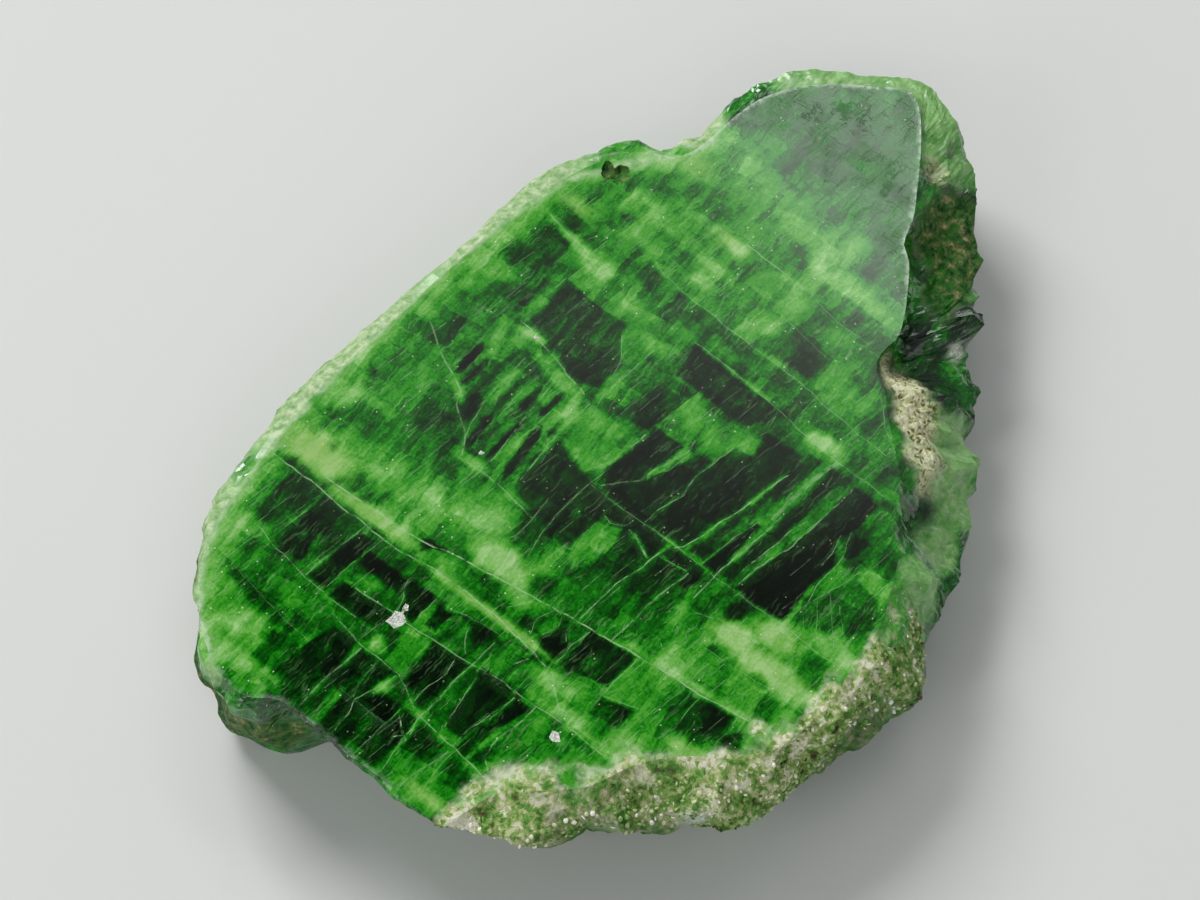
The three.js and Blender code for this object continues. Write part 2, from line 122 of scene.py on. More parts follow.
# Blocks of the crystal from the tip to the foot: outline, tone, softness and tone at the foot
BLOCKS = tuple(Block(*row) for row in (
    (((-10.4, 15.1), (-3, 14.9), (-2.6, 12.8), (-6.6, 13.1), (-8, 13.4), (-10.6, 13.3)), 0.5, 0.4),
    (((-1, 13.6), (2.2, 13.8), (2.3, 12.2), (-1, 12.45)), 0.52, 0.2),
    (((1, 13.7), (2.2, 13.8), (2.3, 12.2), (1, 12.3)), 0.6, 0.15),
    (((-1.4, 10.45), (2, 9.95), (2.1, 8), (-1.3, 8.1)), 0.68, 0.12),
    (((0.4, 10.2), (1.8, 10), (2, 8.2), (0.3, 8.3)), 0.74, 0.15),
    (((-10.1, 8.6), (-8.4, 8.3), (-8.3, 7.1), (-10, 7.2)), 0.62, 0.1),
    (((-7.5, 8.1), (-3.9, 7.95), (-4, 6.3), (-7.3, 6.6)), 0.62),
    (((-3.8, 7.9), (2.8, 7.45), (2.8, 5.6), (-3.7, 6)), 0.58),
    (((-3.5, 6.9), (-2, 6.8), (-2, 5.95), (-3.5, 6.05)), 0.4),
    (((3.1, 7.4), (6.6, 7.05), (6.5, 5.9), (3.1, 6.1)), 0.55, 0.15),
    (((7.2, 7), (8.6, 6.85), (9.3, 6.1), (9.6, 5), (7.1, 5.1)), 0.6, 0.1),
    (((2.5, 9.9), (5.8, 9), (5.7, 7.3), (2.5, 7.7)), 0.4, 0.2),
    (((7.2, 8.5), (8.2, 7.6), (8.1, 7.1), (7.2, 7.2)), 0.66),
    # windows of the upper left
    (((-12.7, 4.4), (-8.2, 4.3), (-7.8, 3.2), (-6.7, 1.9), (-6.6, 0.1), (-8, -0.4), (-10.2, 0.4),
      (-12.4, 1.2)), 0.77),
    (((-12.7, 4.4), (-10.9, 4.4), (-11.4, 0.9), (-12.4, 1.2)), 0.8, 0.25),
    (((-15.2, 4.9), (-12.9, 4.6), (-13.4, 2.2), (-14.4, 2.8)), 0.7, 0.25),
    (((-14.4, 2.8), (-13.6, 2.4), (-13.1, 0.9), (-13.8, 1.2)), 0.78, 0.12),
    (((-7.5, 4.3), (-4.2, 4.2), (-4.4, 0.6), (-6, 0.4), (-6, 3)), 0.6, 0.15),
    (((-4.1, 3.3), (-2.4, 3.2), (-2.7, -0.2), (-4.8, -0.6), (-4.5, 1)), 0.82, 0.12),
    # windows of the middle
    (((-4.4, 5.8), (1.7, 5.4), (2, 4.6), (1, 3.3), (-4, 3.6)), 0.86),
    (((2.1, 5.1), (4.9, 4.9), (4.9, 3.9), (2.2, 3.6)), 0.6, 0.12),
    (((1.7, 2), (4.9, 2.4), (3.7, -4), (3.4, -5), (1, -5), (1.35, -2.3), (1.2, -0.5)), 0.87),
    (((2.3, 3.7), (4.9, 3.9), (5, 2.4), (3, 1.9)), 0.86, 0.15),
    (((-2.6, 0.1), (1.2, 0.4), (1.2, -2.2), (0.9, -4.9), (-1.2, -4.9), (-2.4, -4.5), (-2.9, -3.6),
      (-2.5, -1)), 0.88),
    (((-0.5, 0.3), (0.1, 0.2), (0, -0.9), (-0.8, -2.8), (-1, -2.4)), 0.42, 0.1),
    (((5.1, 4.3), (6, 4.3), (5.6, -1), (4.9, -4.8), (3.9, -4.8), (4.8, -0.5)), 0.84, 0.1),
    (((5.2, 0.6), (5.8, 0.6), (5.5, -1.1), (4.9, -3.4), (4.7, -1.4)), 0.6, 0.15),
    (((5.6, -1.1), (5.95, -1.1), (5.95, -4.9), (5.1, -4.9)), 0.98),
    (((6.6, 4.3), (8, 4.4), (7.4, 0), (7, -4.8), (6.3, -4.8), (6.6, 0)), 0.8, 0.1),
    (((7.6, 4.2), (8.25, 4.2), (7.95, -0.9), (7.4, 0.2), (7.4, 1.5)), 0.6, 0.1),
    (((8.4, 4.2), (10, 4), (10, 1.8), (9.7, 0.8), (10.5, -0.5), (10.3, -2.2), (10.6, -5), (7.4, -5),
      (8, -1)), 1.04),
    (((10.3, 3.9), (11.1, 4.2), (11.6, 2.6), (10.8, 2), (10.3, 2.6)), 0.52, 0.1),
    (((10, 4.6), (11, 4.6), (11, 4.1), (10.1, 4)), 0.8, 0.1),
    (((10.1, 1.9), (11.2, 1.8), (11, 0.3), (10.6, 0.2)), 0.9, 0.08),
    (((10.7, -0.2), (11.8, -0.2), (11.2, -2.6), (10.4, -2.9)), 0.5, 0.1),
    (((12, -0.3), (14, -0.9), (14.6, -2.3), (14, -3.6), (12.5, -3.1), (11.6, -2)), 0.66, 0.12),
    (((11.1, -2.6), (12.2, -2.4), (13.6, -4.4), (11, -4.6)), 0.6, 0.2),
    # emerald and black below the upper left window
    (((-14, 0.5), (-11.8, 0.3), (-11.6, -0.8), (-12.4, -2.3), (-13, -2.2), (-13.6, -0.8)), 0.45, 0.12),
    (((-17.2, -2.7), (-14.9, -3.9), (-13.8, -4.3), (-13.9, -1), (-15.5, 0.2), (-17.6, 0.3)), 0.6, 0.5),
    (((-15, -3.2), (-14.2, -3.8), (-14.2, -1.4), (-14.9, -1.4)), 0.46, 0.15),
    (((-6.8, -1), (-2.7, -1), (-2.9, -3.6), (-3.7, -4.7), (-5.6, -4), (-6.4, -2.6)), 0.4, 0.12),
    (((-6.2, -4), (-3.9, -4.8), (-1.2, -5.2), (-1.2, -7.2), (-1.3, -8.9), (-2.8, -8.9), (-3.1, -8.6),
      (-4, -8.6), (-6, -7.9), (-6.5, -5.6)), 0.84, 0.05, 0.84),
    (((0.4, -5.2), (2.8, -5.2), (2.6, -6.6), (1.2, -5.9), (0.5, -5.8)), 1),
    (((-1.2, -5.2), (0.3, -5.2), (0.3, -5.9), (-1.1, -6)), 0.97),
    (((3, -5.2), (4.6, -5.3), (4.6, -5.9), (2.9, -6)), 0.96),
    (((4.75, -5.3), (5.2, -5.4), (5.5, -5.9), (5.3, -6.8), (4.7, -6.9)), 1.04),
    (((7.8, -6), (8.4, -5.2), (8.9, -6.3), (8.3, -7), (7.8, -6.6)), 1.04),
    (((6.3, -5.2), (7.6, -5.2), (7.6, -6.6), (6.9, -7.2), (6.2, -7)), 0.6, 0.12),
    (((-1.2, -6.6), (0.2, -6.1), (0.5, -7), (0.3, -9), (-0.3, -9.9), (-1, -9.2)), 0.42, 0.08),
    (((0.5, -6.1), (2.6, -6.8), (2.2, -9.4), (0.4, -9.6)), 0.84, 0.1),
    (((2.9, -6.1), (4.6, -6), (4.4, -9.6), (2.3, -9.6)), 0.82, 0.1),
    (((0.4, -9.2), (4.4, -9.2), (4.2, -12), (0.2, -12.3)), 0.6, 0.7),
    (((4.8, -7), (6, -7.4), (5.8, -10), (5.2, -11.4), (4.3, -11.6)), 0.68, 0.15),
    (((6.9, -8.6), (7.9, -8.4), (7.7, -10.2), (7.1, -10)), 0.62, 0.15),
    # slope between the diagonal pale band and the cloud
    (((-18, -2.9), (-14.8, -4.3), (-12.5, -5.4), (-12.2, -6.2), (-10.4, -7.2), (-9.2, -10.6),
      (-12, -10.6), (-15, -9.8), (-17.6, -7.6)), 0.56, 0.5),
    (((-13.6, -6.5), (-11.7, -6.6), (-10.2, -8), (-9.2, -10.6), (-11.2, -10.4),
      (-13.2, -9.6)), 0.74, 0.4),
    (((-17.6, -6.8), (-17, -6.9), (-17, -7.5), (-17.5, -7.5)), 0.95, 0.15),
    (((-9.2, -8.8), (-6, -8.8), (-4.5, -10.4), (-6.5, -11.6), (-8.4, -10.8)), 0.38, 0.25),
    (((-2.7, -9.2), (-2.3, -9.3), (-2.4, -10.6), (-2.7, -10.4)), 0.8, 0.1),
    # right of the middle, above the main crack
    (((12.2, -5.6), (15.2, -5.5), (15.2, -7.1), (12.6, -7)), 0.52, 0.25),
    (((8.4, -9), (15.2, -8.8), (15, -10.7), (8.2, -11)), 0.42, 0.08),
    (((9.4, -9.2), (10.6, -9.1), (10.6, -10.8), (9.3, -10.9)), 0.56, 0.15),
    (((12.7, -9.1), (14, -9), (14.1, -10.4), (12.8, -10.5)), 0.6, 0.2),
    (((-7.8, -13.55), (-6.3, -13.4), (-6.3, -13.7), (-7.7, -13.85)), 1),
    # between the two main cracks
    (((-7, -13.7), (-5, -13.3), (-5, -14.5), (-7.4, -14.7)), 0.42, 0.12),
    (((-0.6, -12.7), (3, -12.2), (2.9, -14.8), (0.5, -14.9), (-0.8, -14.5)), 0.66, 0.08),
    (((0.9, -12.7), (1.6, -12.9), (1.2, -14), (0.7, -13.8)), 0.46, 0.08),
    (((1.9, -12.9), (2.8, -13.8), (2.7, -14.8), (1.3, -14.7), (1.2, -14.1)), 1.03),
    (((3, -12.05), (5.8, -11.9), (6, -14.2), (3, -14.8)), 1),
    (((3.8, -12.6), (5.1, -12.3), (5.1, -14.2), (4.2, -14.3)), 0.88, 0.15),
    (((6.1, -12), (9, -11.6), (9, -13.8), (6.2, -14.4)), 0.44, 0.1),
    (((9, -11.7), (10.2, -11.6), (10.1, -13.6), (9, -13.8)), 0.56, 0.1),
    (((10.3, -11.6), (12.3, -11.3), (12.4, -12.6), (11.9, -13.8), (10.2, -13.6)), 0.86, 0.1),
    (((13.2, -11.8), (13.9, -12.9), (13.5, -13.4), (12.4, -12.8)), 0.84, 0.1),
    (((13.9, -11.8), (14.8, -12), (14.8, -13), (14.2, -12.9)), 0.6, 0.2),
    # below the second main crack
    (((-17.9, -14.9), (-16.1, -14.9), (-16.1, -18.4), (-17.4, -18.4)), 0.56, 0.2),
    (((-16.1, -14.9), (-13.9, -15), (-14.2, -18.6), (-16.2, -18.3)), 0.88, 0.15),
    (((-13.8, -15), (-12.2, -15.2), (-11.9, -17), (-12, -19.1), (-13.7, -18.9)), 0.92, 0.1),
    (((-12.3, -17), (-11.7, -17), (-11.7, -18.3), (-12.3, -18.3)), 0.6, 0.15),
    (((-10.7, -15.5), (-9.6, -15.4), (-9.8, -19.4), (-11, -19.4)), 0.96, 0.08),
    (((-9.5, -15.5), (-6.9, -15.2), (-6.6, -16.1), (-9.5, -16.1)), 0.66, 0.15),
    (((-9.5, -16.1), (-6.6, -16.1), (-6.4, -17.1), (-9.4, -17.1)), 1),
    (((-9.4, -17.2), (-6.3, -17.2), (-6, -18.1), (-9.4, -18.3)), 0.62, 0.15),
    (((-9.3, -18.4), (-5.9, -18.3), (-5.7, -19.5), (-9.3, -19.6)), 0.97),
    (((-6.4, -16), (-4.8, -16), (-4.7, -17.9), (-5.8, -18)), 0.96, 0.08),
    (((-4.2, -16.2), (-3.3, -16.2), (-3.4, -17.5), (-4.1, -17.5)), 1),
    (((-4.9, -14.8), (-2.6, -15), (-3.2, -15.9), (-6.3, -15.8)), 0.46, 0.12),
    (((-3.2, -16), (-0.6, -15.4), (-0.9, -17.2), (-1.6, -16.8), (-2, -16.1)), 0.86, 0.08),
    (((-3, -16.2), (-2.1, -16.4), (-1.3, -17.6), (-3, -17.8)), 0.62, 0.12),
    (((-0.2, -15.5), (1.4, -15.3), (1.1, -17.5), (-0.2, -17.7)), 0.46, 0.1),
    (((1.7, -15.5), (3.4, -15.7), (4.3, -17.3), (1.4, -17.4)), 0.42, 0.15),
    (((4.6, -14.9), (5.8, -15.3), (5.2, -16.2), (4.6, -15.8)), 0.5, 0.1),
    (((6.1, -14.8), (8, -14.4), (7.8, -16.6), (6.2, -16.8)), 0.76, 0.12),
    (((8.5, -14.3), (11, -13.7), (11.8, -15.2), (9.5, -16.4), (8.1, -16)), 0.46, 0.3),
    (((-4.6, -18.2), (-3.1, -18.1), (-3, -20.8), (-4.4, -20.7)), 0.44, 0.08),
    (((-3, -18.1), (-1.2, -18), (-1.3, -20.5), (-1.6, -21.3), (-2.6, -20.8)), 1),
    (((-1.2, -18), (-0.7, -18), (-0.7, -21.7), (-1.4, -21.5)), 0.96),
    (((0.3, -17.7), (2.5, -17.7), (2, -21.6), (0.8, -21.5), (0.5, -20)), 0.98),
    (((-0.4, -17.9), (0.1, -17.9), (0.6, -21.6), (-0.4, -21.9)), 0.74, 0.08),
    (((2.7, -17.8), (3.6, -17.8), (3, -20), (2.8, -22.3), (2, -22.2), (2.2, -20)), 0.94, 0.08),
    (((3.35, -20.8), (4.1, -22.3), (2.95, -22.4)), 0.96),
    (((3.9, -17.7), (5, -17.7), (4.9, -21.8), (4.4, -21.9), (3.6, -20.4)), 0.46, 0.12),
    (((5.2, -18.6), (6.5, -18), (6.3, -21.8), (5, -21.9)), 0.42, 0.3),
    (((6.9, -18), (9.2, -17.9), (9.3, -19.7), (8, -20.2), (6.9, -19.8)), 0.38, 0.25),
    (((-14.9, -19.2), (-10.1, -19.8), (-10.2, -21.4), (-13, -21), (-15.4, -20.6)), 0.52, 0.2),
    (((-10, -19.8), (-6.4, -20.4), (-7.9, -21), (-8.3, -22.2), (-10.1, -22)), 0.62, 0.15),
    (((-15, -21.4), (-8.4, -22.4), (-8.5, -23), (-11, -22.9), (-14.5, -22.2)), 0.74, 0.2),
    (((-7.8, -20.9), (-6.2, -20.8), (-6, -22), (-6.1, -26), (-8.4, -25), (-8.2, -22.4)), 0.94, 0.08),
    (((-10.2, -23), (-8.4, -22.8), (-8.4, -25.2), (-10.1, -24.9)), 0.66, 0.2),
    (((-5.7, -21), (-5, -21), (-5.1, -26), (-5.75, -26)), 0.98),
    (((-5.3, -23.6), (-4.6, -23.6), (-4.5, -26), (-5.2, -26)), 0.56, 0.1),
    (((-4.9, -21.1), (-3.5, -21), (-4, -23.5), (-4.9, -23.4)), 0.88, 0.08),
    (((-4.6, -23.4), (-4, -23.4), (-3.6, -25.9), (-4.4, -26)), 1),
    (((-3.2, -22.3), (-1.8, -22.1), (-1.7, -26), (-3.3, -25.9), (-3.9, -23.8)), 0.94, 0.08),
    (((-2.8, -23.6), (-2, -23.6), (-2, -25.9), (-2.7, -25.9)), 0.7, 0.15),
    (((-1.6, -22.2), (-0.6, -22.2), (-0.5, -23.5), (-0.4, -25.8), (-1.6, -25.8)), 0.97, 0.08),
    (((-0.3, -22.2), (1.5, -22.4), (1.3, -24.6), (0.6, -25), (-0.1, -24.6)), 0.82, 0.1),
    (((-0.3, -24.4), (1.3, -24.5), (1.4, -26), (-0.3, -26)), 0.55, 0.2),
    (((1.6, -22.6), (4.6, -22.8), (4.9, -25), (4, -25.8), (1.6, -25.9)), 0.52, 0.15),
    (((2.3, -22.8), (4.4, -22.9), (4.2, -24), (2.6, -24.4)), 0.68, 0.2),
    (((-9, -26), (-7.9, -26), (-7.8, -26.8), (-9, -27)), 0.4, 0.15),
))

# Long black and bright needles between the cleavage planes left of the middle: line, width, tone
NEEDLES = (
    (((-13.6, -1.8), (-13.5, -4.2)), 0.7, 0.97),
    (((-12.7, -2.4), (-12.7, -4.8)), 0.4, 0.9),
    (((-12, -2), (-11.6, -4.2)), 0.5, 0.72),
    (((-11.6, -4.4), (-11.1, -6.5)), 0.9, 0.93),
    (((-10.95, -2), (-10.75, -4.5)), 0.36, 0.4),
    (((-10.3, -2), (-10.2, -4.8)), 0.5, 0.8),
    (((-10.15, -5.1), (-9.85, -7.7)), 0.6, 0.97),
    (((-9.2, -1.8), (-9.1, -4)), 0.6, 0.93),
    (((-9.45, -4.3), (-9.2, -7.2)), 0.3, 0.6),
    (((-8.55, -4.2), (-8.45, -7.4)), 0.34, 1),
    (((-8, -1.6), (-8, -3.4)), 0.5, 0.9),
    (((-7.5, -3.9), (-6.9, -7.8)), 0.8, 0.96),
    (((-6.9, -2.7), (-6.8, -4.2)), 0.4, 0.95),
    (((-6.35, -4.2), (-6.25, -6.8)), 0.3, 0.48),
    (((-5.9, -4.4), (-5.6, -7.6)), 0.5, 0.9),
)

# Milk under the face, from the tip to the foot: centre, half sizes, strength, turn and yellow
CLOUDS = tuple(Cloud(*row) for row in (
    ((-10.5, 17.5), (2, 2), 0.35), ((-8, 16.4), (1.7, 1.3), 0.3),
    ((-12.3, 15.6), (1.2, 0.9), 0.5, 0, 0.4), ((-4.7, 15.8), (1.5, 0.8), 0.5),
    ((-0.8, 14.5), (2, 0.8), 0.7), ((1.2, 14.2), (1.6, 0.5), 0.5),
    ((-1.5, 16), (1, 1.5), 0.45), ((-7.4, 12.6), (1.4, 0.6), 0.95, -8, 0.3),
    ((-2.2, 12.2), (1, 1.2), 0.5), ((-8.5, 10.9), (3.6, 0.5), 0.45, -8),
    ((-12.9, 11.3), (1.5, 0.9), 0.5), ((-6.9, 9.4), (0.9, 0.7), 0.7),
    ((-11, 9.6), (1.8, 0.7), 0.45), ((-2.2, 9.4), (0.9, 1.3), 0.5),
    ((-15.8, 8.9), (1.3, 0.6), 0.7, -10, 0.5), ((-14.2, 6.9), (2.2, 0.35), 0.8, -10),
    ((-11.8, 6.4), (1.3, 0.8), 0.7), ((-8.6, 5.7), (2, 0.6), 0.4), ((5.4, 5.3), (1.3, 0.5), 0.75),
    ((-16.4, 2.6), (1.7, 0.8), 0.45), ((-13.05, 3), (0.4, 1.5), 0.6), ((-17.8, 4), (0.7, 2.4), 0.5),
    ((-6.4, 4.3), (1.2, 0.5), 0.45), ((-6.3, 0.6), (0.4, 1.2), 0.5),
    ((-1.2, 2.2), (2.2, 1.2), 0.3), ((0.9, 2.2), (1.1, 1.1), 0.25), ((-11.9, 0.45), (0.9, 0.25), 0.8),
    ((-18, -2.2), (0.9, 0.5), 0.6), ((-18.2, -4.6), (0.5, 0.9), 0.5),
    ((-8.7, -0.8), (2.4, 0.5), 0.5, -10), ((-6.9, -2.3), (0.5, 1.1), 0.5),
    ((-4.8, -1.6), (1.4, 0.6), 0.3),
    ((-12.5, -5.2), (1.1, 0.3), 0.6, -35), ((-9, -8.2), (1.5, 0.35), 0.6),
    ((-17.4, -9.3), (1.4, 1.1), 0.6), ((-15.2, -8.7), (1.6, 0.35), 0.4), ((-5.4, -9.6), (1, 0.6), 0.4),
    ((-13, -11.7), (4.2, 1.3), 0.5), ((-9, -12.1), (2.6, 1.4), 0.4),
    ((-16, -13.2), (2.6, 1.2), 1, -6, 0.8), ((-11.2, -14.3), (3.6, 0.45), 0.7, 0, 0.6),
    ((-3.4, -12), (1.9, 1), 0.95, 0, 0.2), ((-5.8, -10.9), (1.5, 1.2), 0.45),
    ((-1.4, -10.3), (0.9, 1.2), 0.4), ((-1.2, -12.9), (1.3, 0.9), 0.6),
    ((12, -7.8), (3.6, 0.8), 1, 3, 0.4), ((9, -7.5), (1.4, 0.9), 0.9, 0, 0.4),
    ((11, -6), (1.5, 0.8), 0.75, 0, 0.4), ((14.9, -7.7), (0.9, 0.5), 1), ((13.8, -4.8), (2, 0.8), 0.6),
    ((7.6, -10), (0.9, 1.5), 0.55), ((6, -8.4), (0.5, 1), 0.5), ((9.5, -11.15), (4, 0.25), 0.7, 4),
    ((-1.5, -14.8), (4.6, 0.3), 0.75, 0, 0.4), ((3.8, -15.7), (1.7, 0.6), 0.6),
    ((5.5, -16.9), (1.2, 0.6), 0.7),
    ((7.5, -17.3), (2.4, 0.3), 0.6), ((12, -14.6), (1.6, 0.6), 0.8, 0, 0.5),
    ((8.8, -16.2), (1, 0.8), 0.55),
    ((-5.2, -20.2), (0.6, 0.6), 0.85), ((-3.25, -21.7), (0.35, 0.7), 0.9),
    ((-8.2, -17.6), (1, 0.4), 0.4),
    ((-11.6, -23.9), (1.5, 1.1), 0.75), ((-10.8, -25.6), (2, 0.6), 0.5), ((-17.2, -17), (0.4, 2.4), 0.5),
    ((-16.2, -20.4), (0.6, 1.6), 0.5), ((-14.6, -23.2), (0.6, 1.2), 0.5),
    ((3, -25.4), (1.6, 0.4), 0.5, 0, 0.5),
    ((4.6, -24), (0.4, 1), 0.5), ((6.2, -22), (1, 1.4), 0.5, 0, 0.3),
))

